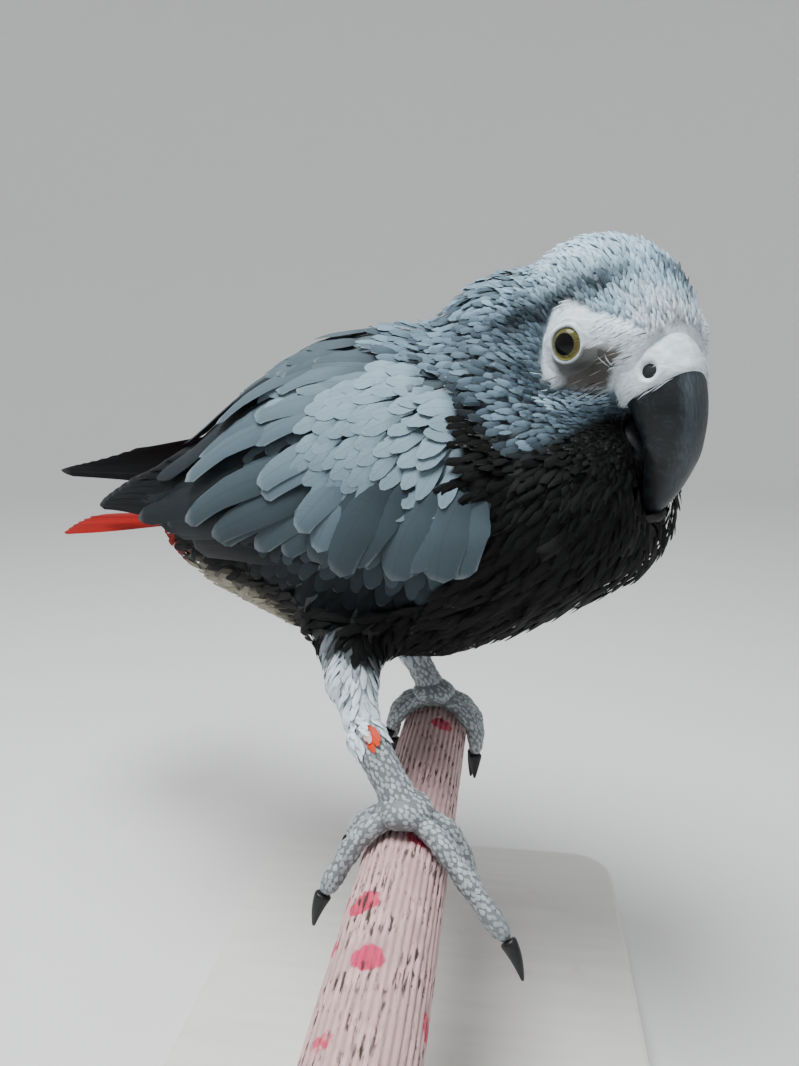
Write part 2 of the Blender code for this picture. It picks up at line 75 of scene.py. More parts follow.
# Skin
FLESH = (
    "head", "neck", "trunk", "rump", "thigh_left", "thigh_right", "wing_left_coverts", "wing_right_coverts",
)
SKIN_UNDERLAY = ("cere", "eye_left", "eye_right")
SKIN_VOXEL = 1.7 * MM

# Face: the bare patch round the eye, as (forward, up) with the head's tilt taken out: its middle and its
# reach back, forward and down, and how high it reaches above its middle at each place forward
EYE_MIDDLE = (8, 13.75, 5.2)
EYE_RADIUS = 5.3
BARE_MIDDLE = (13.5, 0.6)
BARE_HALVES = (9.4, 16.5, 11.2)
BARE_TOP = ((4, 8, 10.5, 15.7, 22.3, 26, 30), (11, 11, 10, 7.0, 4.3, 2.4, 1.5))
BILL_ROOT = (24, 0, -3)
NOSTRIL = (26.0, -7.2, 7.2)
# The tilt that level() takes out of the head's axes
TILT_COS, TILT_SIN = 0.891, 0.454
# The lids' section, as (out, up) from their lip
LID_SECTION = (
    (-0.45, -0.5), (-0.15, 0.30), (0.10, 0.58), (0.45, 0.56), (0.80, 0.25), (1.05, -0.02), (1.40, 0.08),
    (1.80, -0.15), (2.10, -0.45), (2.55, -0.40), (3.00, -0.85), (3.6, -1.2), (4.2, -1.8),
)

# Wings: places as (along the body, degrees up from the wing's own axis)
SHOULDER = (46, 198)
WING_TIP_PLACE = {"right": (-137, 144), "left": (-202, 151)}
# Height of the wing's own axis, where it starts to fall towards the tip, and how far out the wing is sought
WING_AXIS_HEIGHT = 156
WING_AXIS_FALL = -38
WING_REACH = 120

# Tail: root and tip, as (along, up)
TAIL_ROOT = (-82, 142.6)
TAIL_TIP = (-163, 134.3)
TAIL_COUNT = 12

# Bill sections: angle round the pivot, outer and inner reach, half width
BILL_PIVOT = (17, -7)
UPPER_BILL = (
    (98, 20.5, 3, 8.4),
    (80, 20.8, 2.5, 9.0),
    (60, 20.8, 2.5, 9.2),
    (40, 20.8, 3, 8.9),
    (20, 20.9, 5, 8.2),
    (0, 21.4, 8, 7.2),
    (-20, 22.3, 12, 5.8),
    (-38, 23.8, 16.5, 4.2),
    (-52, 25.4, 21, 2.6),
    (-62, 26.8, 25, 1.0),
)
# Angles of the rings of the cere, from its back edge to its front
CERE_ANGLES = (106.0, 105.2, 103, 99, 94, 88, 82, 76, 70, 64, 58, 53, 50, 48.8)
# Lower bill: forward, top, bottom, half width
LOWER_BILL = (
    (7, -8, -19, 7.6),
    (12, -8, -22.5, 8.0),
    (17, -8.5, -25, 7.6),
    (22, -9.5, -26, 6.6),
    (26.5, -11.5, -24.5, 5.0),
    (29, -14.5, -21.5, 2.6),
)

# Feet and perch
PERCH_RADIUS = 11.0
PERCH_AXIS = 73.0
# How high the rod stands at each step across one ridge
RIDGE_SECTION = (0.0, 0.75, 1.0, 1.0, 0.75)
SOLES = {"right": -36.0, "left": 40.0}
ANKLES = {"right": (-11, -28, 104), "left": (-8, 43, 103)}
SOLE_HEIGHT = PERCH_AXIS + PERCH_RADIUS + 5
TOE_RADIUS = 3.3
TOE_JOINTS = (2, 3, 4, 4)
LEG_MARK = (-9.5, -32, 107)
# Toes: number, which way over the perch, slant, degrees of grip, length, and the claw's length
TOES = {
    "right": (
        (1, -1, 0.30, 62, 17, 9), (2, 1, 0.12, 70, 24, 9), (3, 1, -0.62, 46, 31.5, 9.5),
        (4, -1, -0.42, 60, 25.5, 9),
    ),
    "left": (
        (1, -1, -0.36, 90, 17, 9), (2, 1, -0.36, 105, 24, 9), (3, 1, 0.42, 100, 28, 10), (4, -1, 0.42, 90, 25, 10),
    ),
}

# Camera: its place in metres and its turn in degrees
CAMERA_PLACE = (0.0231, -0.2139, 0.192)
CAMERA_TURN = (79.2, 0, 7.8)


def colour_setting(name, description, value):
    return FloatVectorProperty(
        name=name, description=description, default=value, size=3, min=0, max=1, subtype="COLOR_GAMMA",
    )


def strength_setting(name, description, value, **more):
    return FloatProperty(name=name, description=description, default=value, min=0, **more)


def length_setting(name, description, value):
    return strength_setting(name, description, value, unit="LENGTH", subtype="DISTANCE")


class ParrotPlumage(PropertyGroup):
    body_depth: length_setting("Body coat", "Depth of the feathers over the body", 3.2 * MM)
    head_depth: length_setting("Head coat", "Depth of the feathers over the head", 1.5 * MM)
    face_depth: length_setting("Face coat", "Depth of the bristles round the eye", 0.5 * MM)
    crown: colour_setting("Crown", "Pale feathers of the crown and forehead", (0.67, 0.78, 0.85))
    cheek: colour_setting("Cheek", "Scaled feathers of the cheek and nape", (0.40, 0.485, 0.54))
    back: colour_setting("Back", "Feathers of the mantle", (0.37, 0.43, 0.465))
    wing: colour_setting("Wing", "Smooth feathers of the wing", (0.545, 0.635, 0.69))
    # The breast colour is darker than the feathers' own grey: it paints the shade under the body
    breast: colour_setting("Breast", "Dark feathers of the breast and belly", (0.075, 0.077, 0.075))
    flight: colour_setting("Flight feathers", "Charcoal of the long wing feathers", (0.062, 0.07, 0.08))
    tail: colour_setting("Tail", "Red of the tail", (0.52, 0.065, 0.05))
    vent: colour_setting("Vent", "Pale down under the tail", (0.58, 0.56, 0.50))
    thigh: colour_setting("Thigh", "White feathers of the leg", (0.85, 0.91, 0.94))


class ParrotHead(PropertyGroup):
    bare_skin: colour_setting("Bare skin", "White skin round the eye and over the bill", (0.87, 0.915, 0.94))
    bare_shade: colour_setting("Shaded skin", "Brownish skin below the eye", (0.33, 0.31, 0.295))
    iris: colour_setting("Iris", "Pale straw of the iris", (0.50, 0.49, 0.31))
    horn: colour_setting("Horn", "Slate black of the bill", (0.045, 0.06, 0.07))
    horn_worn: colour_setting("Worn horn", "Paler streaks of the bill", (0.21, 0.26, 0.29))
    lid_opening: FloatProperty(
        name="Lid opening", description="Angle of the open eye", default=radians(43), unit="ROTATION",
    )


class ParrotLegs(PropertyGroup):
    scale_pale: colour_setting("Scales", "Pale grey of the toe scales", (0.64, 0.675, 0.69))
    scale_dark: colour_setting("Between scales", "Dark skin between the scales", (0.42, 0.445, 0.455))
    claw: colour_setting("Claws", "Black of the claws", (0.07, 0.07, 0.075))
    mark: colour_setting("Leg mark", "Orange-red feathers on the leg", (0.85, 0.28, 0.16))
    scale_step: length_setting("Scale size", "Spacing of the toe scales", 1.15 * MM)


class ParrotPerch(PropertyGroup):
    ridges: IntProperty(name="Ridges", description="Ridges round the perch", default=40, min=8, max=90)
    groove_depth: length_setting("Groove depth", "Depth of the grooves", 0.45 * MM)
    paint: colour_setting("Paint", "Pale pink paint", (0.83, 0.68, 0.68))
    spots: colour_setting("Spots", "Crimson spots", (0.80, 0.11, 0.29))
    dirt: colour_setting("Worn streaks", "Dark wood where the paint is gone", (0.22, 0.19, 0.15))


class ParrotStage(PropertyGroup):
    floor: colour_setting("Floor", "Plain pale floor", (0.90, 0.90, 0.895))
    top_light: strength_setting("Top light", "Strength of the overhead light", 6.0, unit="POWER")
    fill_light: strength_setting("Fill light", "Strength of the light from the camera's side", 1.3, unit="POWER")
    ceiling_light: strength_setting("Ceiling light", "Strength of the broad light high up", 20.0, unit="POWER")
    surround: strength_setting("Surround", "Strength of the even light all round", 0.22)


def settings(name):
    return getattr(bpy.context.scene, "parrot_" + name)


def linear(colour):
    """A gamma colour as linear light."""
    c = np.asarray(tuple(colour), float)
    return np.where(c <= 0.04045, c / 12.92, ((c + 0.055) / 1.055) ** 2.4)


def rgba(colour, by=1.0):
    return (*linear([min(1, c * by) for c in colour]), 1.0)


# ---- Numbers ----


def smooth(low, high, x):
    """0 below low, 1 above high, with soft ends."""
    t = np.clip((x - low) / (high - low), 0, 1)
    return t * t * (3 - 2 * t)


def blend(a, b, share):
    share = np.asarray(share)[:, None]
    return np.asarray(a) * (1 - share) + np.asarray(b) * share


def columns(*values):
    """Values side by side; one number stands for a whole column."""
    return np.stack(np.broadcast_arrays(*values), -1)


def given(thing, **values):
    """Sets several of a thing's values."""
    for key, value in values.items():
        setattr(thing, key, value)
    return thing


def turns(count):
    """Even steps once round, in radians."""
    return [2 * pi * k / count for k in range(count)]


def unit(v):
    return v / np.maximum(np.linalg.norm(v, axis=-1, keepdims=True), 1e-9)


def away_from(place, points):
    return np.linalg.norm(points - np.asarray(place), axis=1)


def into(axes, points):
    """World points in metres, as places in a set of axes."""
    m = np.array(axes.inverted())
    return points @ m[:3, :3].T + m[:3, 3]


def out_of(axes, points):
    m = np.array(axes)
    return points @ m[:3, :3].T + m[:3, 3]


def turned_out(axes, directions):
    return unit(directions @ np.array(axes)[:3, :3].T)


def wavering(points, scale, seed):
    """A smooth field of values between about -1 and 1, made of a few waves."""
    rng = np.random.default_rng(seed)
    total = np.zeros(len(points))
    for k in range(6):
        way = rng.normal(size=3)
        way /= np.linalg.norm(way)
        total += np.sin(points @ way * (2 * pi / scale) * rng.uniform(0.6, 1.7) + rng.uniform(0, 6.3))
    return total / 3.2


# ---- Meshes ----


def show(name, mesh):
    obj = bpy.data.objects.new(name, mesh)
    bpy.context.scene.collection.objects.link(obj)
    return obj


def finished(obj, material, slot, *nodes):
    """Gives a piece its material and body, and hides the imported solids that it stands for. The slot is not used.
    """
    obj.data.materials.clear()
    obj.data.materials.append(material)
    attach(obj, "root")
    if nodes:
        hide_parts(*nodes)
    return obj


def applied(obj):
    """Turns a piece's modifiers into its mesh."""
    graph = bpy.context.evaluated_depsgraph_get()
    mesh = bpy.data.meshes.new_from_object(obj.evaluated_get(graph))
    mesh.name = obj.name
    obj.modifiers.clear()
    obj.data = mesh
    return obj


def smooth_faces(mesh):
    write(mesh.polygons, "use_smooth", np.ones(len(mesh.polygons)), bool)
    return mesh


def mesh_of(bm, name):
    """A smooth mesh of a closed bmesh, with its faces pointing out."""
    bmesh.ops.remove_doubles(bm, verts=bm.verts, dist=1e-7)
    bmesh.ops.recalc_face_normals(bm, faces=bm.faces)
    return smooth_faces(mesh_from(bm, name))


def in_order(bm):
    """Lists a bmesh's corners, edges and faces by place, so that each run has them in the same order."""
    slant = Vector((1.0, 1.618, 2.236))
    bm.verts.sort(key=lambda vert: vert.co.dot(slant))
    bm.edges.sort(key=lambda edge: (edge.verts[0].co + edge.verts[1].co).dot(slant))
    bm.faces.sort(key=lambda face: face.calc_center_median().dot(slant))


def unwrapped(obj, margin=0.002):
    """An unwrap of the piece's own shape, as the map its patterns are kept on."""
    for other in bpy.context.selected_objects:
        other.select_set(False)
    obj.select_set(True)
    bpy.context.view_layer.objects.active = obj
    if "OFBake" not in obj.data.uv_layers:
        obj.data.uv_layers.new(name="OFBake")
    obj.data.uv_layers.active = obj.data.uv_layers["OFBake"]
    bpy.ops.object.mode_set(mode="EDIT")
    bpy.ops.mesh.select_all(action="SELECT")
    bpy.ops.uv.smart_project(angle_limit=radians(66), island_margin=margin)
    bpy.ops.object.mode_set(mode="OBJECT")
    obj.select_set(False)
    return obj


def colours_on(mesh, name, colours):
    """A colour for each vertex, as an attribute."""
    layer = mesh.color_attributes.new(name, "FLOAT_COLOR", "POINT")
    full = np.ones((len(colours), 4), np.float32)
    full[:, : colours.shape[1]] = colours
    write(layer.data, "color", full)


def read(items, key, width=1, kind=np.float32):
    """An array of one value, or one row of values, of every item of a mesh."""
    values = np.empty(len(items) * width, kind)
    items.foreach_get(key, values)
    return values.reshape(-1, width) if width > 1 else values


def write(items, key, values, kind=np.float32):
    items.foreach_set(key, np.asarray(values).astype(kind).ravel())


def vertices_of(mesh):
    return read(mesh.vertices, "co", 3).astype(float)


def corners_of(mesh):
    """The vertex at each corner of the faces."""
    return read(mesh.loops, "vertex_index", 1, np.int32)


def mapped(mesh, name, places):
    """A map of the mesh, from a place for each vertex."""
    write(mesh.uv_layers.new(name=name).data, "uv", places[corners_of(mesh)])


def mesh_from(bm, name):
    mesh = bpy.data.meshes.new(name)
    bm.to_mesh(mesh)
    bm.free()
    return mesh


def lofted(rings, name):
    """A closed skin over rings of points in metres: circles bent to the rings, bridged, with their ends filled."""
    bm = bmesh.new()
    loops = []
    for ring in rings:
        made = bmesh.ops.create_circle(bm, segments=len(ring), radius=1)["verts"]
        for vert, place in zip(made, ring):
            vert.co = place
        loops.append(list(dict.fromkeys(edge for vert in made for edge in vert.link_edges)))
    for lower, upper in zip(loops, loops[1:]):
        bmesh.ops.bridge_loops(bm, edges=lower + upper)
    bmesh.ops.holes_fill(bm, edges=loops[0] + loops[-1], sides=len(rings[0]))
    return mesh_of(bm, name)


def between(rows, places):
    """Rows of numbers read from smooth curves through a table whose first column is the place."""
    table = np.array(rows, float)
    if table[0, 0] > table[-1, 0]:
        table = table[::-1]
    last = len(table) - 1
    found = []
    for place in places:
        i = int(np.clip(np.searchsorted(table[:, 0], place) - 1, 0, last - 1))
        t = np.clip((place - table[i, 0]) / (table[i + 1, 0] - table[i, 0]), 0, 1)
        a, b, c, d = (table[int(np.clip(k, 0, last)), 1:] for k in (i - 1, i, i + 1, i + 2))
        found.append(b + 0.5 * t * (c - a + t * (2 * a - 5 * b + 4 * c - d + t * (3 * (b - c) + d - a))))
    return found


def spun(profile, doubles):
    """A bmesh of a profile of (reach, height) turned about the upright axis."""
    bm = bmesh.new()
    row = [bm.verts.new((reach, 0, height)) for reach, height in profile]
    edges = [bm.edges.new(pair) for pair in zip(row, row[1:])]
    whole = dict(cent=(0, 0, 0), axis=(0, 0, 1), dvec=(0, 0, 0), angle=2 * pi, steps=72)
    bmesh.ops.spin(bm, geom=row + edges, use_merge=True, use_duplicate=False, **whole)
    bmesh.ops.remove_doubles(bm, verts=bm.verts, dist=doubles)
    in_order(bm)
    return bm


def softened(obj, levels):
    given(obj.modifiers.new("Soft", "SUBSURF"), levels=levels, render_levels=levels)
    return applied(obj)


# ---- Surfaces ----


def merged(bm, name):
    """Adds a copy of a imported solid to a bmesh, with its doubled corners merged."""
    one = bmesh.new()
    one.from_mesh(NODES[name].data)
    bmesh.ops.remove_doubles(one, verts=one.verts, dist=1e-6)
    mesh = mesh_from(one, "copy")
    bm.from_mesh(mesh)
    bpy.data.meshes.remove(mesh)


def tree_of(places):
    tree = KDTree(len(places))
    for i, place in enumerate(places):
        tree.insert(place, i)
    tree.balance()
    return tree


class Surface:
    """A mesh to lay things on: its nearest places, soft normals, and the unwrap that it carries."""

    def __init__(self, mesh):
        mesh.calc_loop_triangles()
        self.places = vertices_of(mesh)
        self.tris = read(mesh.loop_triangles, "vertices", 3, np.int32)
        self.normals = read(mesh.vertices, "normal", 3).astype(float)
        self.tree = BVHTree.FromPolygons(self.places.tolist(), self.tris.tolist())
        self.spots = None
        if "OFBake" in mesh.uv_layers:
            uv = read(mesh.uv_layers["OFBake"].data, "uv", 2)
            self.spots = uv[read(mesh.loop_triangles, "loops", 3, np.int32)].astype(float)

    def found(self, points):
        """The nearest places, with their triangles and the corners' shares."""
        found = np.empty_like(points)
        index = np.empty(len(points), int)
        for i, point in enumerate(points):
            place, _, face, _ = self.tree.find_nearest(point)
            found[i] = place
            index[i] = face
        a, b, c = (self.places[self.tris[index, k]] for k in range(3))
        sides = ((b, c), (c, a), (a, b))
        w = np.stack([np.linalg.norm(np.cross(p - found, q - found), axis=1) for p, q in sides], 1) + 1e-12
        return found, index, w / w.sum(1, keepdims=True)

    def nearest(self, points):
        found, index, w = self.found(points)
        return found, unit((self.normals[self.tris[index]] * w[:, :, None]).sum(1))

    def spots_at(self, points):
        _, index, w = self.found(points)
        return (self.spots[index] * w[:, :, None]).sum(1)

    def scattered(self, spacing_at, keep_at, seed, tries=9):
        """Seeded places on the surface, at least their own spacing (in metres) apart."""
        rng = np.random.default_rng(seed)
        a, b, c = (self.places[self.tris[:, k]] for k in range(3))
        middles = (a + b + c) / 3
        areas = np.linalg.norm(np.cross(b - a, c - a), axis=1) / 2
        spacing = spacing_at(middles)
        wanted = areas / spacing ** 2 * keep_at(middles)
        total = wanted.sum()
        picked = rng.choice(len(wanted), int(total * tries), p=wanted / total)
        u, v = rng.random((2, len(picked)))
        over = u + v > 1
        u[over], v[over] = 1 - u[over], 1 - v[over]
        w = columns(1 - u - v, u, v)
        places = (self.places[self.tris[picked]] * w[:, :, None]).sum(1)
        normals = unit((self.normals[self.tris[picked]] * w[:, :, None]).sum(1))
        tree = tree_of(places)
        free = np.ones(len(places), bool)
        kept = []
        for i in range(len(places)):
            if not free[i]:
                continue
            kept.append(i)
            for _, j, _ in tree.find_range(places[i], spacing[picked[i]]):
                free[j] = False
        places, normals = places[kept], normals[kept]
        spots = (skin_surface() if self.spots is None else self).spots_at(places)
        return places, normals, spots, spacing[picked[kept]]


def traced(surface, places, normals, ways, lengths, steps, follow=0.35, field=None, hover=0.0):
    """Centre lines that walk over a surface: places and normals, with steps + 1 of each for every line."""
    way = unit(ways - normals * (ways * normals).sum(1, keepdims=True))
    line, out = [places], [normals]
    for _ in range(steps):
        ahead = line[-1] + way * (lengths / steps)[:, None] + out[-1] * hover
        place, normal = surface.nearest(ahead)
        if field is not None:
            way = unit(way * (1 - follow) + unit(field(place)) * follow)
        way = unit(way - normal * (way * normal).sum(1, keepdims=True))
        line.append(place)
        out.append(normal)
    return np.stack(line, 1), np.stack(out, 1)


# ---- Feathers ----


class Vane:
    """One closed feather blade, made once and then laid many times. x runs across, u along, t is its thickness."""

    def __init__(self, across, along, root=0.35, widest=0.55, end=0.72, rounding=0.16, notch=0.0, seed=0):
        rng = np.random.default_rng(seed)
        bm = bmesh.new()
        bmesh.ops.create_grid(bm, x_segments=across, y_segments=along, size=1)
        under = bmesh.ops.duplicate(bm, geom=bm.verts[:] + bm.edges[:] + bm.faces[:])
        below = [g for g in under["geom"] if isinstance(g, bmesh.types.BMVert)]
        for vert in bm.verts:
            vert.co.z = 0.0 if vert.is_boundary else 1.0
        for vert in below:
            if not vert.is_boundary:
                vert.co.z = -1.0
        bmesh.ops.reverse_faces(bm, faces=[g for g in under["geom"] if isinstance(g, bmesh.types.BMFace)])
        bmesh.ops.remove_doubles(bm, verts=bm.verts, dist=1e-5)
        bm.verts.index_update()
        for edge in bm.edges:
            if all(abs(v.co.z) < 0.5 for v in edge.verts) and len({f.normal.z > 0 for f in edge.link_faces}) == 2:
                edge.smooth = False
        mesh = mesh_from(bm, "vane")
        co = vertices_of(mesh)
        self.x = co[:, 0]
        u = (co[:, 1] + 1) / 2
        self.t = co[:, 2]
        growth = smooth(0, widest, u)
        taper = 1 - (1 - end) * smooth(widest, 1, u)
        self.width = (root + (1 - root) * growth) * taper
        edge = np.abs(self.x) ** 2
        self.u = np.clip(u - rounding * edge * u ** 4, 0, 1)
        if notch:
            rim_now = (np.abs(self.x) > 0.98) | (u > 0.98)
            self.u = np.clip(self.u - rim_now * rng.uniform(0, notch, len(u)) * (u > 0.3), 0, 1)
            self.width = self.width * (1 - (np.abs(self.x) > 0.98) * rng.uniform(0, notch * 2, len(u)))
        self.count = len(co)
        self.edges = np.array([e.vertices[:] for e in mesh.edges])
        self.sharp = np.array([e.use_edge_sharp for e in mesh.edges])
        self.corner_verts = np.array([l.vertex_index for l in mesh.loops])
        self.corner_edges = np.array([l.edge_index for l in mesh.loops])
        self.starts = np.array([p.loop_start for p in mesh.polygons])
        bpy.data.meshes.remove(mesh)


class Feathers:
    """Vanes gathered for one joined mesh."""

    def __init__(self):
        self.parts = []

    def lay(
        self, vane, line, normal, width, length, lift, colour, finish, spot, patch, cup=0.12, thick=0.05, roll=0,
        rise=0.8, sway=0,
    ):
        """Lays a vane along each centre line. Width is half a width, and lift is (root, tip) above the surface."""
        n, steps = line.shape[:2]
        root, tip, width, roll, sway = (np.broadcast_to(v, n)[:, None] for v in (*lift, width, roll, sway))
        at = vane.u * (steps - 1)
        low = np.minimum(at.astype(int), steps - 2)
        part = (at - low)[:, None]
        place = line[:, low] * (1 - part) + line[:, low + 1] * part
        out = unit(normal[:, low] * (1 - part) + normal[:, low + 1] * part)
        ahead = unit(line[:, low + 1] - line[:, low])
        across = unit(np.cross(out, ahead))
        half = width * vane.width
        side = vane.x * half
        height = root + (tip - root) * vane.u ** rise
        height = height - cup * half * vane.x ** 2 + vane.t * thick * half * 0.5
        height = height + side * np.tan(roll)
        side = side + sway * length[:, None] * vane.u ** 2
        place = place + across * side[:, :, None] + out * height[:, :, None]
        flat = columns(vane.x * 0.5 + 0.5, vane.u)
        local = columns(vane.x * vane.width * 0.5, vane.u - 0.5)
        maps = {
            "vane": np.broadcast_to(flat, (n, vane.count, 2)),
            "grain": columns(vane.x * half, vane.u * length[:, None]) * 100,
            "OFBake": spot[:, None, :] + local * np.reshape(patch, (n, 1, -1)),
        }
        self.parts.append((vane, place, maps, colour, finish))

    def mesh(self, name):
        """One mesh of all the laid vanes, with their maps and colours."""
        keys = ("co", "edges", "sharp", "corner", "side", "start", "coat", "finish", "vane", "grain", "OFBake")
        got = {key: [] for key in keys}
        at = np.zeros(3, int)
        for vane, place, maps, colour, finish in self.parts:
            n = len(place)
            size = np.array((vane.count, len(vane.edges), len(vane.corner_verts)))
            verts, edges, corners = (at + np.arange(n)[:, None] * size).T[:, :, None]
            got["co"].append(place.reshape(-1, 3))
            got["edges"].append((vane.edges[None] + verts[:, :, None]).reshape(-1, 2))
            got["sharp"].append(np.tile(vane.sharp, n))
            got["corner"].append((vane.corner_verts + verts).ravel())
            got["side"].append((vane.corner_edges + edges).ravel())
            got["start"].append((vane.starts + corners).ravel())
            got["coat"].append(np.repeat(colour, vane.count, axis=0))
            got["finish"].append(np.repeat(finish, vane.count, axis=0))
            for key, values in maps.items():
                got[key].append(values[:, vane.corner_verts].reshape(-1, 2))
            at = at + n * size
        got = {key: np.concatenate(values) for key, values in got.items()}
        mesh = bpy.data.meshes.new(name)
        for items, key, kinds in (
            (mesh.vertices, "co", {"co": "co"}),
            (mesh.edges, "edges", {"vertices": "edges"}),
            (mesh.loops, "corner", {"vertex_index": "corner", "edge_index": "side"}),
            (mesh.polygons, "start", {"loop_start": "start"}),
        ):
            items.add(len(got[key]))
            for kind, source in kinds.items():
                write(items, kind, got[source], np.float32 if kind == "co" else np.int32)
        mesh.update()
        write(mesh.attributes.new("sharp_edge", "BOOLEAN", "EDGE").data, "value", got["sharp"], bool)
        for key in ("vane", "grain", "OFBake"):
            write(mesh.uv_layers.new(name=key, do_init=False).data, "uv", got[key])
        colours_on(mesh, "coat", got["coat"])
        colours_on(mesh, "finish", got["finish"])
        return smooth_faces(mesh)

    def piece(self, name, material, slot, *nodes):
        return finished(show(name, self.mesh(name)), material, slot, *nodes)


def patch_sizes(spots, least=0.003, most=0.012):
    """How large each feather's own patch of the map may be without touching its neighbours'."""
    tree = tree_of([(u, v, 0) for u, v in spots])
    sizes = np.empty(len(spots))
    for i, (u, v) in enumerate(spots):
        near = tree.find_n((u, v, 0), 2)
        sizes[i] = near[-1][2] if len(near) > 1 else most
    return np.clip(sizes * 0.7, least, most)


# ---- The bird's regions, colours and lie of the coat ----


REGION_NODES = {
    "head": ("head", "eye_left", "eye_right", "cere"),
    "bill": ("bill_upper", "bill_lower"),
    "neck": ("neck",),
    "trunk": ("trunk", "rump"),
    "thigh_right": ("thigh_right",),
    "thigh_left": ("thigh_left",),
    "wing_right": ("wing_right_coverts",),
    "wing_left": ("wing_left_coverts",),
}
REGIONS = tuple(REGION_NODES)
COVERTS = ("wing_right_coverts", "wing_left_coverts")
WINGS = ("wing_right", "wing_left")
THIGHS = ("thigh_right", "thigh_left")
SOLIDS = {}


def solid_tree(names):
    """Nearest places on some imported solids."""
    if names not in SOLIDS:
        places, faces = [], []
        for name in names:
            mesh = NODES[name].data
            base = len(places)
            places += [v.co.copy() for v in mesh.vertices]
            faces += [tuple(base + i for i in p.vertices) for p in mesh.polygons]
        SOLIDS[names] = BVHTree.FromPolygons(places, faces)
    return SOLIDS[names]


def distance_to(names, points):
    """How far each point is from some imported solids, in millimetres."""
    tree = solid_tree(names)
    return np.array([tree.find_nearest(p)[3] for p in points]) * 1000


def regions_of(points):
    """The index in REGIONS of the part that each point belongs to."""
    gaps = np.stack([distance_to(REGION_NODES[r], points) for r in REGIONS], 1)
    return gaps.argmin(1)


def is_region(regions, *names):
    return np.isin(regions, [REGIONS.index(n) for n in names])


def level(head):
    """Forward and up, with the head's tilt taken out."""
    x, z = head[:, 0], head[:, 2]
    return x * TILT_COS + z * TILT_SIN, z * TILT_COS - x * TILT_SIN


def bareness(head):
    """1 on the bare skin round the eyes, falling to 0 at its edge. Places in the head's axes."""
    forward, up = level(head)
    x, z = forward - BARE_MIDDLE[0], up - BARE_MIDDLE[1]
    ahead = np.maximum(x, 0)
    x = x / np.where(x < 0, BARE_HALVES[0], BARE_HALVES[1])
    z = z / np.where(z > 0, np.interp(forward, *BARE_TOP), BARE_HALVES[2] - 0.22 * ahead)
    away = (np.abs(x) ** 2.5 + np.abs(z) ** 2.5) ** 0.4
    return (1 - smooth(0.84, 1.02, away)) * smooth(5.5, 8.5, np.abs(head[:, 1]))


def face_shade(head):
    """1 on the shaded skin below and ahead of the eye."""
    forward, up = level(head)
    low = smooth(-10.0, -8.4, up - 1.0 * np.maximum(forward - 15, 0))
    return smooth(7.0, 9.0, forward) * smooth(1.2, -0.6, up) * low * (1 - smooth(22.0, 25.0, forward))


def under_eye(head):
    """1 where the shaded skin is darkest, just below and ahead of the eye."""
    forward, up = level(head)
    return np.exp(-(((forward - 13.2) / 3.6) ** 2) - ((up + 3.6) / 3.0) ** 2) * (np.abs(head[:, 1]) > 5)


def brow_shade_share(head, fine=0.0):
    """1 on the mottled band over and behind the eye, darkened with painted shade and dark feather bases."""
    forward, up = level(head)
    band = np.exp(-(((up - 7.8 - 0.42 * forward + fine) / 4.0) ** 2))
    ends = smooth(-9, -3, forward) * (1 - smooth(14, 19, forward))
    return band * ends * smooth(2, 5, np.abs(head[:, 1]))


def coat_depth(points):
    """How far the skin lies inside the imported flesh, in metres."""
    p = settings("plumage")
    head = into(HEAD, points)
    body = into(BODY, points)
    from_head = away_from((2, 0, 2), head)
    depth = p.head_depth + (p.body_depth - p.head_depth) * smooth(24, 44, from_head)
    legs = 1 - smooth(112, 128, body[:, 2])
    depth = depth * (1 - 0.55 * legs * (from_head > 40))
    bare = bareness(head)
    near_bill = 1 - smooth(4, 10, np.linalg.norm((head - np.array((20, 0, 0))) / (1, 1.1, 1), axis=1) - 8)
    depth = depth * (1 - bare) + p.face_depth * bare
    return depth * (1 - 0.5 * near_bill) + p.face_depth * 0.5 * near_bill


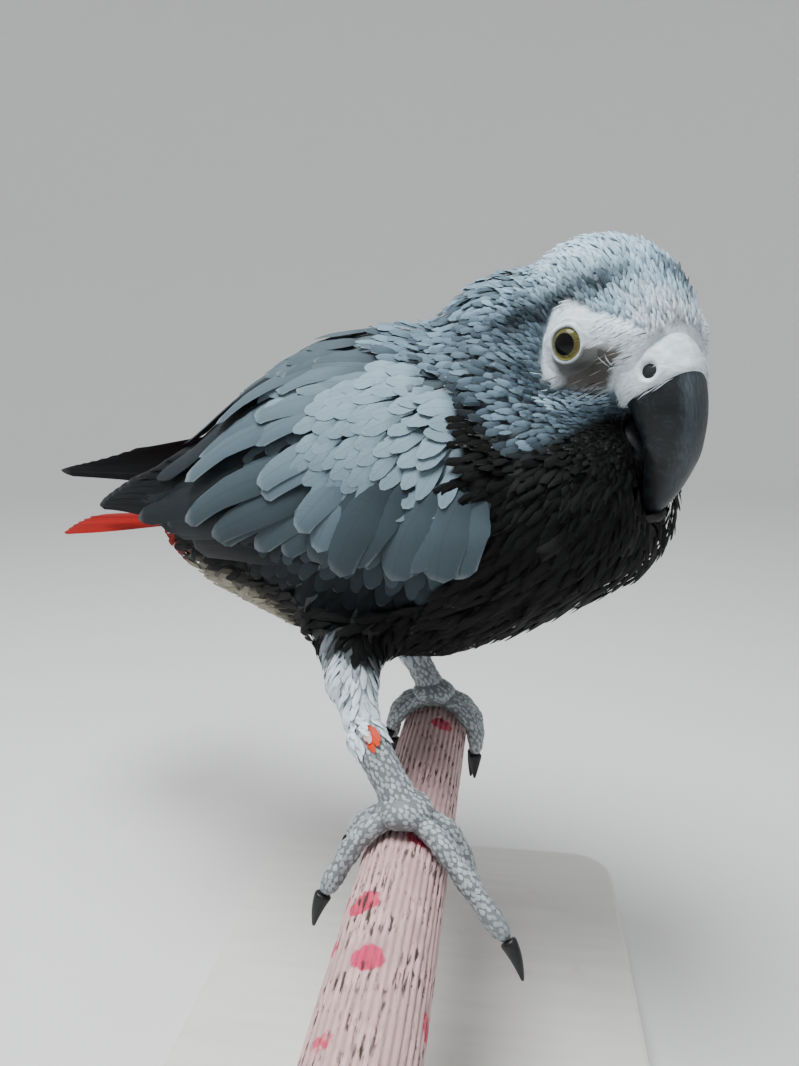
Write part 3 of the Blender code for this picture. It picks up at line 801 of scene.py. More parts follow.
def plumage_colour(points, regions):
    """The coat's colour at each place, the same on skin and feathers, with painted shade on the breast, throat,
    lower wing, legs and below the eye.
    """
    p = settings("plumage")
    h = settings("head")
    body, head = into(BODY, points), into(HEAD, points)
    x, y, z = body.T
    wave = wavering(points, 0.030, 3)
    fine = wavering(points, 0.009, 5)
    breast, back, vent = linear(p.breast), linear(p.back), linear(p.vent)
    # Trunk: dark below with painted shade, grey above, pale down and then red towards the tail
    colour = blend(breast, back, smooth(166, 186, z + 3 * wave))
    colour = blend(colour, vent, smooth(-23, -34, x + 3 * wave) * (1 - smooth(127, 135, z + 2 * fine)))
    colour = blend(colour, linear(p.tail), smooth(-80, -88, x + 2 * fine))
    # Neck and head: pale crown, scaled cheeks and nape, and a throat dark with painted shade under a slanting edge
    scaled = linear(p.cheek)
    throat = np.interp(x, (33, 39, 45, 52, 59, 65, 80), (188, 184, 178, 174.5, 179, 184, 185))
    upper = smooth(-2.5, 2.5, z - throat + 1.5 * wave)
    crown_share = smooth(2, 15, head[:, 2] + 0.45 * head[:, 0] + 2 * wave)
    blotch = wavering(points, 0.011, 6)
    scaled = scaled * (1 + 0.30 * blotch)[:, None]
    top = blend(scaled, linear(p.crown), crown_share)
    forward, up = level(head)
    brow = brow_shade_share(head, 1.2 * fine)
    front = smooth(20, 26, forward) * smooth(7, 11, up) * (0.5 + 0.5 * blotch)
    cheek = smooth(6, -4, up) * smooth(8, 12, np.abs(head[:, 1]))
    nape = smooth(-2, -9, forward) * smooth(1, 8, up)
    # Painted shade over the eye, and darker mottling on the forehead
    shade = (1 - 0.95 * brow * (0.85 + 0.15 * blotch)) * (1 - 0.58 * np.clip(front, 0, 1))
    top = top * (shade * (1 - 0.45 * cheek) * (1 + 0.45 * nape))[:, None]
    on_head = is_region(regions, "head", "neck", "bill")
    collar = blend(breast, scaled, upper)
    # Painted shade on the neck where it meets the front of the wing
    shade_by_wing = 1 - smooth(3, 10, distance_to(COVERTS, points))
    collar = collar * (1 - 0.6 * shade_by_wing * (1 - smooth(188, 194, z)))[:, None]
    from_head = away_from(0, head)
    neck_colour = blend(collar, blend(breast * 1.2, top, upper), 1 - smooth(22, 34, from_head))
    near_neck = np.clip(np.maximum(on_head, 1 - smooth(2, 9, distance_to(REGION_NODES["neck"], points))), 0, 1)
    colour = blend(colour, neck_colour, near_neck)
    # Wings
    on_wing = is_region(regions, *WINGS)
    # Painted shade: the wing darkens towards the back and downwards, most of all along its lower part
    shade = smooth(38, -70, x + 0.35 * (z - 170) * -1)
    wing = blend(linear(p.wing), linear(p.wing) * 0.45, shade)
    wing = blend(wing, linear(p.wing) * 0.22, (1 - smooth(128, 150, z)))
    colour = np.where(on_wing[:, None], wing, colour)
    # Legs
    on_leg = is_region(regions, *THIGHS)
    # Painted shade: the white leg darkens towards the body, takes the breast's shaded colour at its top and on its
    # inner side under the belly, and the far leg is darker all over
    white = linear(p.thigh) * np.interp(z, (104, 119), (1.12, 0.84))[:, None]
    inner = smooth(-47, -42, y + fine) * smooth(114, 120, z)
    leg = blend(white, breast, np.maximum(smooth(122, 131, z + 2 * fine), inner))
    leg = np.where(is_region(regions, "thigh_left")[:, None], blend(white * 0.55, breast, smooth(112, 122, z)), leg)
    colour = np.where(on_leg[:, None], leg, colour)
    # Bare face
    bare = bareness(head) * on_head
    low = face_shade(head)
    face = blend(linear(h.bare_skin), linear(h.bare_shade), low) * (1 - 0.65 * under_eye(head) * low)[:, None]
    colour = blend(colour, face, bare)
    by_cere = 1 - smooth(1.8, 7.0, distance_to(("cere",), points) + 1.2 * fine)
    colour = blend(colour, linear(h.bare_skin) * 0.92, by_cere * on_head * smooth(0, 5, head[:, 2]) * (1 - low))
    return np.clip(colour, 0, 1)


def coat_way(points, regions=None):
    """Which way the feathers point at each place."""
    body, head = into(BODY, points), into(HEAD, points)
    x, y, z = body.T
    away = turned_out(HEAD, head - np.array(BILL_ROOT))
    from_bill = away_from(BILL_ROOT, head)
    under = 1 - smooth(-10, 40, x)
    trunk = columns(-1, 0, -0.28 - 0.25 * (1 - under) * 1.6)
    trunk = turned_out(BODY, trunk)
    way = trunk * smooth(30, 62, from_bill)[:, None] + away * (1 - smooth(30, 62, from_bill))[:, None]
    if regions is None:
        return unit(way)
    wing = columns(np.minimum(x - SHOULDER[0], -5), 0, np.minimum(z - SHOULDER[1], -3))
    wing = turned_out(BODY, wing)
    leg = turned_out(BODY, np.tile((-0.25, 0.0, -1.0), (len(x), 1)))
    way = np.where(is_region(regions, *WINGS)[:, None], wing, way)
    way = np.where(is_region(regions, *THIGHS)[:, None], leg, way)
    return unit(way)


# ---- Materials ----


class Look:
    """A new material with its nodes. Values that are the same all over are set on the shader itself."""

    def __init__(self, name, roughness, **fixed):
        self.material = bpy.data.materials.new(name)
        self.material.use_nodes = True
        self.tree = self.material.node_tree
        self.shader = self.tree.nodes["Principled BSDF"]
        self.fill(self.shader.inputs, {"Roughness": roughness})
        self.fill(self.shader.inputs, {key.replace("_", " "): value for key, value in fixed.items()})

    def fill(self, inputs, values):
        """Links each input to a socket, or gives it a value."""
        for key, value in values.items():
            if isinstance(value, bpy.types.NodeSocket):
                self.tree.links.new(value, inputs[key])
            else:
                inputs[key].default_value = value

    def put(self, kind, values, **options):
        made = given(self.tree.nodes.new("ShaderNode" + kind), **options)
        self.fill(made.inputs, values)
        return made

    def calc(self, operation, a, b=0.0, c=0.0, clamp=False):
        return self.put("Math", {0: a, 1: b, 2: c}, operation=operation, use_clamp=clamp).outputs[0]

    def times(self, a, b):
        return self.calc("MULTIPLY", a, b)

    def scaled(self, a, scale, add, clamp=False):
        return self.calc("MULTIPLY_ADD", a, scale, add, clamp)

    def mixed(self, share, a, b, kind="MIX"):
        made = self.put("Mix", {0: share, 6: a, 7: b}, data_type="RGBA", blend_type=kind, clamp_factor=True)
        return made.outputs[2]

    def dimmed(self, colour, value):
        grey = self.put("CombineColor", {0: value, 1: value, 2: value}).outputs[0]
        return self.mixed(1.0, colour, grey, "MULTIPLY")

    def ranged(self, value, low, high, to_low=0.0, to_high=1.0):
        values = {"Value": value, "From Min": low, "From Max": high, "To Min": to_low, "To Max": to_high}
        return self.put("MapRange", values, interpolation_type="SMOOTHSTEP").outputs[0]

    def noise(self, vector, scale, detail=3.0, rough=0.55, distortion=0.0):
        values = {"Vector": vector, "Scale": scale, "Detail": detail, "Roughness": rough, "Distortion": distortion}
        return self.put("TexNoise", values).outputs[0]

    def painted(self, name="coat"):
        """The colours kept on the mesh."""
        return self.put("Attribute", {}, attribute_name=name).outputs["Color"]

    def marks(self, name="coat"):
        return self.put("SeparateColor", {0: self.painted(name)}).outputs

    def map(self, name):
        return self.put("UVMap", {}, uv_map=name).outputs[0]

    def stretched(self, vector, *scale):
        return self.put("Mapping", {"Vector": vector, "Scale": scale}).outputs[0]

    def own_places(self, *scale):
        """Object coordinates, stretched by a scale."""
        return self.stretched(self.put("TexCoord", {}).outputs["Object"], *(scale or (1, 1, 1)))

    def done(self, colour, rough=None, height=None, depth=0.0002, strength=0.6):
        values = {"Base Color": colour}
        if rough is not None:
            values["Roughness"] = rough
        if height is not None:
            bump = {"Height": height, "Distance": depth, "Strength": strength}
            values["Normal"] = self.put("Bump", bump).outputs[0]
        self.fill(self.shader.inputs, values)
        return self.material


def feather_material(name, barb_step, barb_depth, shaft, edge_width, soft):
    """Feather: barbs slanting from a shaft, a darker root, paler or darker edges, and a tint of its own."""
    m = Look(name, soft, Specular_IOR_Level=0.08)
    finish = m.marks("finish")
    flat = m.put("SeparateXYZ", {0: m.map("vane")}).outputs
    grain = m.put("SeparateXYZ", {0: m.map("grain")}).outputs
    off = m.calc("ABSOLUTE", m.scaled(flat[0], 2.0, -1.0))
    aside = m.calc("ABSOLUTE", grain[0])
    wobble = m.noise(m.map("grain"), 6.0, 2.0)
    slant = m.scaled(aside, -1.1, m.scaled(wobble, 0.05, grain[1]))
    barb = m.calc("SINE", m.times(slant, 2 * pi / (barb_step * 100)))
    fuzz = m.noise(m.put("CombineXYZ", {0: m.times(slant, 14.0), 1: grain[0]}).outputs[0], 3.0, 3.0)
    tint = m.scaled(finish[0], 0.34, 0.83)
    root = m.ranged(flat[1], 0.0, 0.55, 0.55, 1.0)
    lines = m.scaled(barb, barb_depth * 0.5, m.scaled(fuzz, 0.30, 0.85))
    body = m.dimmed(m.painted(), m.times(m.times(tint, root), lines))
    tipward = m.calc("POWER", flat[1], 3.0)
    rim = m.calc("MAXIMUM", m.times(off, m.calc("SQRT", flat[1])), tipward)
    rim = m.ranged(m.scaled(fuzz, 0.16, rim), 1.08 - edge_width, 1.06)
    pale = m.times(rim, m.scaled(finish[1], 2.0, -1.0, clamp=True))
    dark = m.times(rim, m.scaled(finish[1], -2.0, 1.0, clamp=True))
    body = m.mixed(pale, body, m.mixed(0.62, body, (0.80, 0.84, 0.86, 1)))
    body = m.mixed(dark, body, m.mixed(0.7, body, (0.02, 0.022, 0.025, 1)))
    quill = m.times(m.ranged(off, 0.10, 0.03), m.times(finish[2], shaft))
    body = m.mixed(quill, body, (0.03, 0.03, 0.032, 1))
    height = m.scaled(barb, 0.5, m.times(fuzz, 1.4))
    return m.done(body, None, height, 0.00008, 0.5)


def skin_material():
    m = Look("bare_skin", 0.62, Subsurface_Weight=0.06)
    places = m.own_places()
    pebble = m.put("TexVoronoi", {"Vector": places, "Scale": 1150.0}, feature="F1").outputs["Distance"]
    patches = m.noise(places, 240.0, 4.0)
    shade = m.scaled(patches, 0.5, m.scaled(pebble, -0.22, 0.80))
    return m.done(m.dimmed(m.painted(), shade), None, pebble, 0.00018, 0.5)


def face_material():
    """White skin of the cere and lids, with fine folds, and painted shade where the mesh is marked: brownish below
    the eye, and near black in the nostril pits and the lids' crease.
    """
    h = settings("head")
    m = Look("face_skin", 0.55, Subsurface_Weight=0.08)
    mark = m.marks()
    places = m.own_places()
    fine = m.noise(places, 900.0, 4.0)
    folds = m.noise(m.own_places(1, 1, 2.2), 320.0, 4.0, 0.6, 0.6)
    tone = m.mixed(m.ranged(folds, 0.35, 0.7), rgba(h.bare_skin, 0.86), rgba(h.bare_skin))
    # Green mark: painted shade below the eye; red mark: near-black painted shade in pits and creases
    tone = m.mixed(m.times(mark[1], 0.9), tone, rgba((0.33, 0.31, 0.29)))
    tone = m.mixed(mark[0], tone, (0.008, 0.008, 0.009, 1))
    height = m.scaled(fine, 0.5, folds)
    return m.done(tone, None, height, 0.00025, 0.5)


def eye_material():
    h = settings("head")
    m = Look("eye_surface", 0.12, Coat_Weight=0.15, Coat_Roughness=0.02, IOR=1.36, Specular_IOR_Level=0.2)
    flat = m.map("iris")
    away = m.put("VectorMath", {0: flat}, operation="LENGTH").outputs["Value"]
    round_way = m.put("VectorMath", {0: flat}, operation="NORMALIZE").outputs[0]
    rays = m.put("VectorMath", {0: round_way, "Scale": 5.0}, operation="SCALE").outputs[0]
    streak = m.noise(rays, 3.0, 4.0, 0.65)
    straw = m.mixed(m.ranged(streak, 0.3, 0.7), rgba(h.iris, 0.62), rgba(h.iris, 1.15))
    # Painted shade of the upper lid: the iris is dimmed towards its top, and its pale outer ring shows mostly below
    low = m.marks()[0]
    ring = m.ranged(m.calc("ABSOLUTE", m.calc("SUBTRACT", away, 0.222)), 0.034, 0.0)
    straw = m.mixed(m.times(ring, m.scaled(low, 0.7, 0.25)), straw, rgba((0.93, 0.88, 0.36)))
    straw = m.dimmed(straw, m.scaled(low, 0.55, 0.45))
    pupil = m.ranged(m.scaled(streak, 0.012, away), 0.160, 0.147)
    limbus = m.ranged(away, 0.240, 0.258)
    tone = m.mixed(pupil, straw, (0.003, 0.003, 0.003, 1))
    tone = m.mixed(limbus, tone, (0.02, 0.018, 0.015, 1))
    return m.done(tone)


def horn_material(name="bill_horn", claw=False):
    h = settings("head")
    m = Look(name, 0.38, Specular_IOR_Level=0.35)
    places = m.map("length")
    grain = m.noise(m.stretched(places, 30.0, 3.0, 1), 1.2, 5.0, 0.6, 0.4)
    flakes = m.noise(m.stretched(places, 7.0, 2.6, 1), 1.0, 4.0, 0.55, 0.8)
    worn = m.times(m.ranged(flakes, 0.42, 0.75), m.ranged(grain, 0.30, 0.70))
    dark = rgba(settings("legs").claw if claw else h.horn)
    pale = rgba((0.20, 0.20, 0.20) if claw else h.horn_worn)
    tone = m.mixed(m.times(worn, 0.75), dark, pale)
    tone = m.mixed(m.ranged(grain, 0.62, 0.40, 0.0, 0.45), tone, (0.006, 0.007, 0.008, 1))
    if not claw:
        # Painted highlight: paler blue-grey along the marked ridge of the upper bill
        ridge = m.times(m.marks()[0], m.ranged(grain, 0.2, 0.75, 0.15, 0.6))
        tone = m.mixed(ridge, tone, rgba((0.30, 0.35, 0.38)))
    rough = m.ranged(flakes, 0.3, 0.75, 0.36, 0.50)
    height = m.scaled(grain, 1.0, m.times(flakes, 0.5))
    return m.done(tone, rough, height, 0.00012, 0.4)


def foot_material():
    m = Look("foot_scales", 0.58)
    places = m.own_places()
    fine = m.noise(places, 1500.0, 4.0)
    broad = m.noise(places, 210.0, 3.0)
    shade = m.scaled(broad, 0.7, m.scaled(fine, 0.35, 0.48))
    pale = m.dimmed(m.painted(), shade)
    tone = m.mixed(m.ranged(broad, 0.60, 0.72, 0.0, 0.4), pale, rgba(settings("legs").scale_dark))
    return m.done(tone, None, fine, 0.00012, 0.6)


def perch_material():
    p = settings("perch")
    m = Look("perch_paint", 0.55)
    flat = m.map("round")
    ridge = m.marks()
    streaks = m.noise(m.stretched(flat, 260.0, 42.0, 1), 3.0, 4.0, 0.6)
    patches = m.noise(flat, 95.0, 3.0, 0.55)
    chew = m.noise(m.stretched(flat, 900.0, 130.0, 1), 1.4, 3.0, 0.6)
    cells = m.put("TexVoronoi", {"Vector": flat, "Scale": 82.0, "Randomness": 0.9}, feature="F1")
    wobble = m.noise(flat, 420.0, 3.0)
    near = m.scaled(wobble, 0.22, cells.outputs["Distance"])
    chance = m.put("SeparateColor", {0: cells.outputs["Color"]}).outputs[0]
    spot = m.times(m.ranged(near, 0.46, 0.40), m.ranged(chance, 0.28, 0.30))
    base = m.mixed(m.ranged(patches, 0.3, 0.72), rgba(p.paint, 0.90), rgba(p.paint, 1.07))
    crimson = m.mixed(chance, rgba(p.spots), rgba((0.82, 0.17, 0.37)))
    base = m.mixed(m.times(spot, m.ranged(streaks, 0.25, 0.6, 0.70, 1.0)), base, crimson)
    # Painted shade in the grooves between the ridges
    groove = m.calc("SUBTRACT", 1.0, ridge[0], clamp=True)
    base = m.mixed(m.times(groove, 0.38), base, rgba(p.paint, 0.45))
    gone = m.times(m.ranged(chew, 0.48, 0.58), m.ranged(patches, 0.42, 0.56))
    gone = m.times(gone, m.ranged(ridge[0], 0.9, 0.35, 0.30, 1.0))
    base = m.mixed(gone, base, rgba(p.dirt))
    rings = m.ranged(m.noise(m.own_places(1, 0.1, 1), 900.0, 4.0), 0.35, 0.7)
    base = m.mixed(ridge[1], base, m.mixed(rings, rgba((0.50, 0.38, 0.27)), rgba((0.67, 0.54, 0.40))))
    height = m.scaled(gone, -1.4, m.scaled(streaks, 0.6, patches))
    return m.done(base, m.ranged(patches, 0.2, 0.8, 0.42, 0.68), height, 0.0003, 0.6)


def painted_base_material():
    m = Look("stand_satin_paint", 0.42)
    places = m.own_places()
    brush = m.noise(m.own_places(1, 9, 9), 26.0, 4.0, 0.55)
    wear = m.noise(places, 70.0, 5.0, 0.6)
    tone = m.mixed(m.ranged(brush, 0.3, 0.7), rgba((0.875, 0.87, 0.855)), rgba((0.90, 0.895, 0.88)))
    tone = m.mixed(m.ranged(wear, 0.62, 0.80, 0.0, 0.35), tone, rgba((0.72, 0.70, 0.66)))
    return m.done(tone, m.ranged(wear, 0.3, 0.8, 0.34, 0.52), brush, 0.0002, 0.35)


def rod_material():
    m = Look("rod_brushed_steel", 0.32, Metallic=1.0)
    brush = m.noise(m.own_places(1, 1, 14), 160.0, 4.0, 0.6)
    fine = m.noise(m.own_places(1, 1, 22), 900.0, 2.0)
    tone = m.mixed(m.ranged(brush, 0.3, 0.7), rgba((0.66, 0.665, 0.675)), rgba((0.79, 0.79, 0.795)))
    return m.done(tone, m.ranged(fine, 0.2, 0.8, 0.24, 0.42), fine, 0.00006, 0.4)


def floor_material():
    stage = settings("stage")
    m = Look("plain_floor", 0.85)
    grain = m.noise(m.own_places(), 60.0, 3.0)
    tone = m.mixed(grain, rgba(stage.floor, 0.985), rgba(stage.floor))
    return m.done(tone)


# ---- Pieces ----


def skin_surface():
    if "skin" not in SOLIDS:
        SOLIDS["skin"] = Surface(bpy.data.objects["skin"].data)
    return SOLIDS["skin"]


def feather_look(kind):
    """The shared feather materials."""
    name = "feather_" + kind
    if name in bpy.data.materials:
        return bpy.data.materials[name]
    # Step and depth of the barbs, shaft, width of the edge, roughness
    looks = {
        "contour": (0.00035, 0.10, 0.25, 0.34, 0.66),
        "down": (0.00050, 0.22, 0.15, 0.50, 0.85),
        "wing": (0.00045, 0.12, 0.30, 0.26, 0.60),
        "flight": (0.00060, 0.16, 0.60, 0.16, 0.52),
    }
    return feather_material(name, *looks[kind])


def joined_surface(*names):
    """Several finished pieces as one surface to lay feathers on."""
    bm = bmesh.new()
    for name in names:
        bm.from_mesh(bpy.data.objects[name].data)
    mesh = mesh_from(bm, "joined")
    for layer in list(mesh.uv_layers):
        mesh.uv_layers.remove(layer)
    surface = Surface(mesh)
    bpy.data.meshes.remove(mesh)
    return surface


def even(gap):
    """The same spacing everywhere, in millimetres."""
    return lambda points: np.full(len(points), gap * MM)


def spacing_on(points):
    """How far apart the feathers stand, in metres."""
    body, head = into(BODY, points), into(HEAD, points)
    x, y, z = body.T
    from_head = away_from((6, 0, 4), head)
    from_bill = away_from(BILL_ROOT, head)
    gap = 0.95 + 0.50 * smooth(12, 36, from_bill) + 1.25 * smooth(22, 38, from_head)
    gap = gap + 0.9 * smooth(38, 62, from_head)
    gap = (0.70 + 0.16 * smooth(38, 56, from_head)) * np.minimum(gap, 3.6)
    gap = np.where(z < 128, np.minimum(gap, 1.75), gap)
    return gap * MM


def patch_share(points):
    """1 on the small-scaled patch over the bend of the wing."""
    body = into(BODY, points)
    dx = (body[:, 0] - 21) / 19.0
    dz = (body[:, 2] - 177) / 16.5
    tilt = dx * 0.96 + dz * 0.24
    away = np.sqrt(tilt ** 2 + dz ** 2) + 0.05 * np.sin(np.arctan2(dz, dx) * 5.0 + 0.6)
    return 1 - smooth(0.93, 1.03, away)


def lay_coat(
    name, where, look, seed, keep=None, spacing=spacing_on, length=2.7, width=0.66, lift=(0.12, 0.95), edge=0.5,
    ruffle=0.18, vanes=(), steps=3, tone=None, turn=0.16, cup=0.16, thick=0.06, spread=0.28, tint=1.0, base=None,
    way=None, jitter=0.2, rooted=None,
):
    """Covers the chosen regions of the skin with feathers that follow its lie. Returns the joined mesh."""
    skin = base or skin_surface()
    way = way or coat_way
    rng = np.random.default_rng(seed)

    def wanted(points):
        regions = regions_of(points)
        chosen = is_region(regions, *where).astype(float)
        return chosen * (keep(points) if keep else 1.0)

    places, normals, spots, gaps = skin.scattered(spacing, wanted, seed)
    still = wanted(places) > rng.random(len(places)) * 0.999
    places, normals, spots, gaps = (v[still] for v in (places, normals, spots, gaps))
    regions = regions_of(places)
    ways = way(places, regions)
    aside = np.cross(normals, ways)
    ways = unit(ways + aside * rng.normal(0, turn, len(ways))[:, None])
    long = gaps * length * rng.uniform(0.88, 1.14, len(gaps))
    line, out = traced(
        skin, places, normals, ways, long, steps, 0.3, lambda p: way(p, regions), 0.4 * MM if base else 0.0,
    )
    depth = coat_depth(line[:, -1])
    colour = plumage_colour(places + (line[:, -1] - places) * 0.4, regions)
    if tone:
        colour = tone(places, colour)
    n = len(places)
    loose = rng.random(n) ** 4
    root = depth * lift[0] * (1 + jitter * rng.uniform(-2, 2, n)) * (rooted(places) if rooted else 1.0)
    tip = depth * lift[1] * (1 - jitter * rng.uniform(-0.1, 1, n) + ruffle * loose)
    edge_value = edge(places) if callable(edge) else np.full(n, edge)
    edge_value = np.clip(edge_value + rng.normal(0, 0.05, n), 0, 1)
    finish = columns(0.5 + tint * (rng.random(n) - 0.5), edge_value, 0.5)
    pick = rng.integers(0, len(vanes), n)
    sizes = patch_sizes(spots)
    gathered = Feathers()
    for k, vane in enumerate(vanes):
        m = pick == k
        n = m.sum()
        if n:
            half = gaps[m] * width * rng.uniform(0.9, 1.12, n)
            gathered.lay(
                vane, line[m], out[m], half, long[m], (root[m], tip[m]), colour[m], finish[m], spots[m], sizes[m],
                cup=cup, thick=thick, roll=rng.normal(0, spread * 0.35, n), sway=rng.normal(0, 0.06, n),
            )
    return gathered.piece(name, feather_look(look), "grey_plumage")


class ParrotOperator(Operator):
    """Makes one piece, or one group of pieces; whatever stops it is raised"""

    bl_options = {"REGISTER", "UNDO"}


class PARROT_OT_skin(ParrotOperator):
    """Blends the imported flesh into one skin, inside it by the coat's depth"""

    bl_idname = "parrot.skin"
    bl_label = "Skin"

    def execute(self, context):
        bm = bmesh.new()
        for name in FLESH + SKIN_UNDERLAY:
            merged(bm, name)
        skin = show("skin", mesh_from(bm, "skin"))
        given(skin.modifiers.new("Remesh", "REMESH"), mode="VOXEL", voxel_size=SKIN_VOXEL)
        given(skin.modifiers.new("Smooth", "SMOOTH"), factor=0.5, iterations=5)
        applied(skin)
        mesh = skin.data
        reshaped(mesh, keep_largest)
        for _ in range(2):
            places = vertices_of(mesh)
            places -= read(mesh.vertices, "normal", 3) * coat_depth(places)[:, None] * 0.5
            write(mesh.vertices, "co", places)
            mesh.update()
            reshaped(mesh, relaxed)
        smooth_faces(mesh)
        unwrapped(skin)
        places = vertices_of(mesh)
        regions = regions_of(places)
        colour = plumage_colour(places, regions)
        bare = bareness(into(HEAD, places)) * is_region(regions, "head", "neck")
        # Painted shade deep in the coat: the skin is darkened where feathers cover it, so that gaps show dark; bare
        # skin keeps its full colour
        painted_light_share = 0.45 + 0.30 * is_region(regions, "head") + 0.40 * is_region(regions, *THIGHS)
        painted_light_share = painted_light_share + 0.15 * is_region(regions, *WINGS) * patch_share(places)
        painted_light_share = painted_light_share + 0.45 * smooth(-70, -80, into(BODY, places)[:, 0])
        colour = blend(colour * painted_light_share[:, None], colour, bare)
        colours_on(mesh, "coat", colour)
        finished(skin, skin_material(), "grey_plumage", *FLESH)
        return {"FINISHED"}


def reshaped(mesh, change):
    """Puts a mesh through a change of its bmesh."""
    bm = bmesh.new()
    bm.from_mesh(mesh)
    change(bm)
    bm.to_mesh(mesh)
    bm.free()


def relaxed(bm):
    for _ in range(2):
        bmesh.ops.smooth_vert(bm, verts=bm.verts, factor=0.4, use_axis_x=True, use_axis_y=True, use_axis_z=True)


def keep_largest(bm):
    """Drops every loose body but the largest."""
    seen, bodies = set(), []
    for start in bm.verts:
        if start in seen:
            continue
        body, todo = [], [start]
        seen.add(start)
        while todo:
            vert = todo.pop()
            body.append(vert)
            for edge in vert.link_edges:
                other = edge.other_vert(vert)
                if other not in seen:
                    seen.add(other)
                    todo.append(other)
        bodies.append(body)
    largest = max(bodies, key=len)
    bmesh.ops.delete(bm, geom=[v for body in bodies if body is not largest for v in body], context="VERTS")


def off_the_face(points):
    head = into(HEAD, points)
    bare = bareness(head)
    cere = 1 - smooth(0.8, 1.6, distance_to(("cere", "bill_upper", "bill_lower"), points))
    return np.clip(1 - bare * 1.6 - cere, 0, 1)


def head_edge(points):
    head = into(HEAD, points)
    crown = smooth(4, 16, head[:, 2] + 0.4 * head[:, 0])
    return (0.84 - 0.20 * crown) * (1 - brow_shade_share(head)) + 0.44 * brow_shade_share(head)


def crown_streaks(points, colour):
    rng = np.random.default_rng(11)
    head = into(HEAD, points)
    crown = smooth(4, 16, head[:, 2] + 0.4 * head[:, 0])
    dark = rng.random(len(points)) < 0.30 * (1 - 0.55 * crown)
    colour = colour * np.where(dark, 0.55 + 0.15 * crown, 1.0)[:, None]
    forward, up = level(head)
    edge = np.exp(-(((up + 11.4 - 0.37 * (forward - 10.4)) / 2.0) ** 2))
    rim = edge * smooth(4, 7, forward) * smooth(25, 22, forward)
    return blend(colour, linear(settings("plumage").crown), rim * 0.9 * smooth(5, 7, np.abs(head[:, 1])))


def on_face(points):
    head = into(HEAD, points)
    from_eye = away_from((EYE_MIDDLE[0], EYE_MIDDLE[2]), head[:, [0, 2]])
    cere = smooth(0.6, 1.2, distance_to(("cere", "bill_upper", "bill_lower"), points))
    ahead = smooth(9, 13, head[:, 0] - 0.2 * head[:, 2])
    bare = (bareness(head) > 0.1) * smooth(6.3, 7.2, from_eye)
    return bare * cere * (0.2 + 0.8 * ahead) * (1 - 0.82 * face_shade(head))


def bristle_tone(points, colour):
    rng = np.random.default_rng(12)
    head = into(HEAD, points)
    dark = rng.random(len(points)) < 0.30 * smooth(9, 5, head[:, 2]) + 0.04
    pale = np.tile(linear(settings("head").bare_skin), (len(points), 1))
    pale = blend(pale, linear(settings("head").bare_shade) * 2.2, 0.8 * face_shade(head))
    return np.where(dark[:, None], linear((0.25, 0.25, 0.25)), pale)


def back_and_down(points, regions):
    side = np.sign(into(HEAD, points)[:, 1])
    return turned_out(HEAD, columns(-0.69, 0.7 * side, -0.86))


def clear_of_nostrils(head):
    return away_from(np.abs(NOSTRIL), np.abs(head)) > 3.4


def round_bill(points):
    head = into(HEAD, points)
    return head, np.degrees(np.arctan2(head[:, 2] - BILL_PIVOT[1], head[:, 0] - BILL_PIVOT[0]))


def at_back(points):
    head, turn = round_bill(points)
    outside = distance_to(("cere",), points) < 1.6
    return outside * smooth(74, 84, turn) * smooth(126, 112, turn) * smooth(2.0, 5.0, head[:, 2])


def at_root(points):
    head, turn = round_bill(points)
    outside = distance_to(("cere",), points) < 1.4
    edge = smooth(64, 54, turn) * smooth(30, 34, turn) * smooth(3.0, 6, np.abs(head[:, 1])) * (head[:, 0] > 22.5)
    return outside * edge * clear_of_nostrils(head) * (1 - face_shade(head))


def down_tone(points, colour):
    white = np.tile(linear(settings("head").bare_skin), (len(points), 1))
    return white * np.random.default_rng(14).uniform(0.75, 1.0, len(points))[:, None]


def along_bill(points, regions):
    head, turn = round_bill(points)
    turn = np.radians(turn)
    return turned_out(HEAD, columns(np.sin(turn) - 1.15, 0.25 * np.sign(head[:, 1]), -np.cos(turn) * 1.2))


class PARROT_OT_head_feathers(ParrotOperator):
    """Small scaled feathers over the crown, cheeks and nape, and bristles on the bare face"""

    bl_idname = "parrot.head_feathers"
    bl_label = "Head feathers"

    def execute(self, context):
        small = [Vane(4, 3, root=0.55, end=0.72, rounding=0.13, notch=0.20, seed=k) for k in range(5)]
        lay_coat(
            "head_coat", ("head",), "contour", 31, off_the_face, edge=head_edge, vanes=small, tone=crown_streaks,
            ruffle=0.7,
            length=3.3, width=0.60, lift=(0.35, 0.95), cup=0.16, spread=0.5, turn=0.22,
        )
        hair = [Vane(2, 3, root=0.9, end=0.3, rounding=0.0)]
        lay_coat(
            "face_bristles", ("head",), "down", 32, on_face, even(0.85), 3.6, 0.12, (0.1, 1.3), 0.5, 0.6, hair, 3,
            bristle_tone, 0.10, way=back_and_down,
        )

        # Fine white down over the back edge of the cere, and bristles over the root of the bill
        face = joined_surface("skin", "cere_skin", "upper_bill")
        tuft = [Vane(2, 3, root=0.8, end=0.35, rounding=0.1, notch=0.1, seed=k) for k in range(2)]
        every = ("head", "bill", "neck")
        lay_coat(
            "cere_down", every, "down", 36, at_back, even(0.62), 5.6, 0.30, (0.1, 1.9), 0.5, 0.6, tuft, 4,
            down_tone, 0.2, base=face,
        )
        lay_coat(
            "bill_bristles", every, "down", 37, at_root, even(0.55), 6.6, 0.09, (0.02, 0.5), 0.5, 1.2, hair, 4,
            down_tone, 0.25, base=face, way=along_bill,
        )
        return {"FINISHED"}


def neck_edge(points):
    z = into(BODY, points)[:, 2]
    return 0.5 + 0.40 * smooth(170, 186, z)


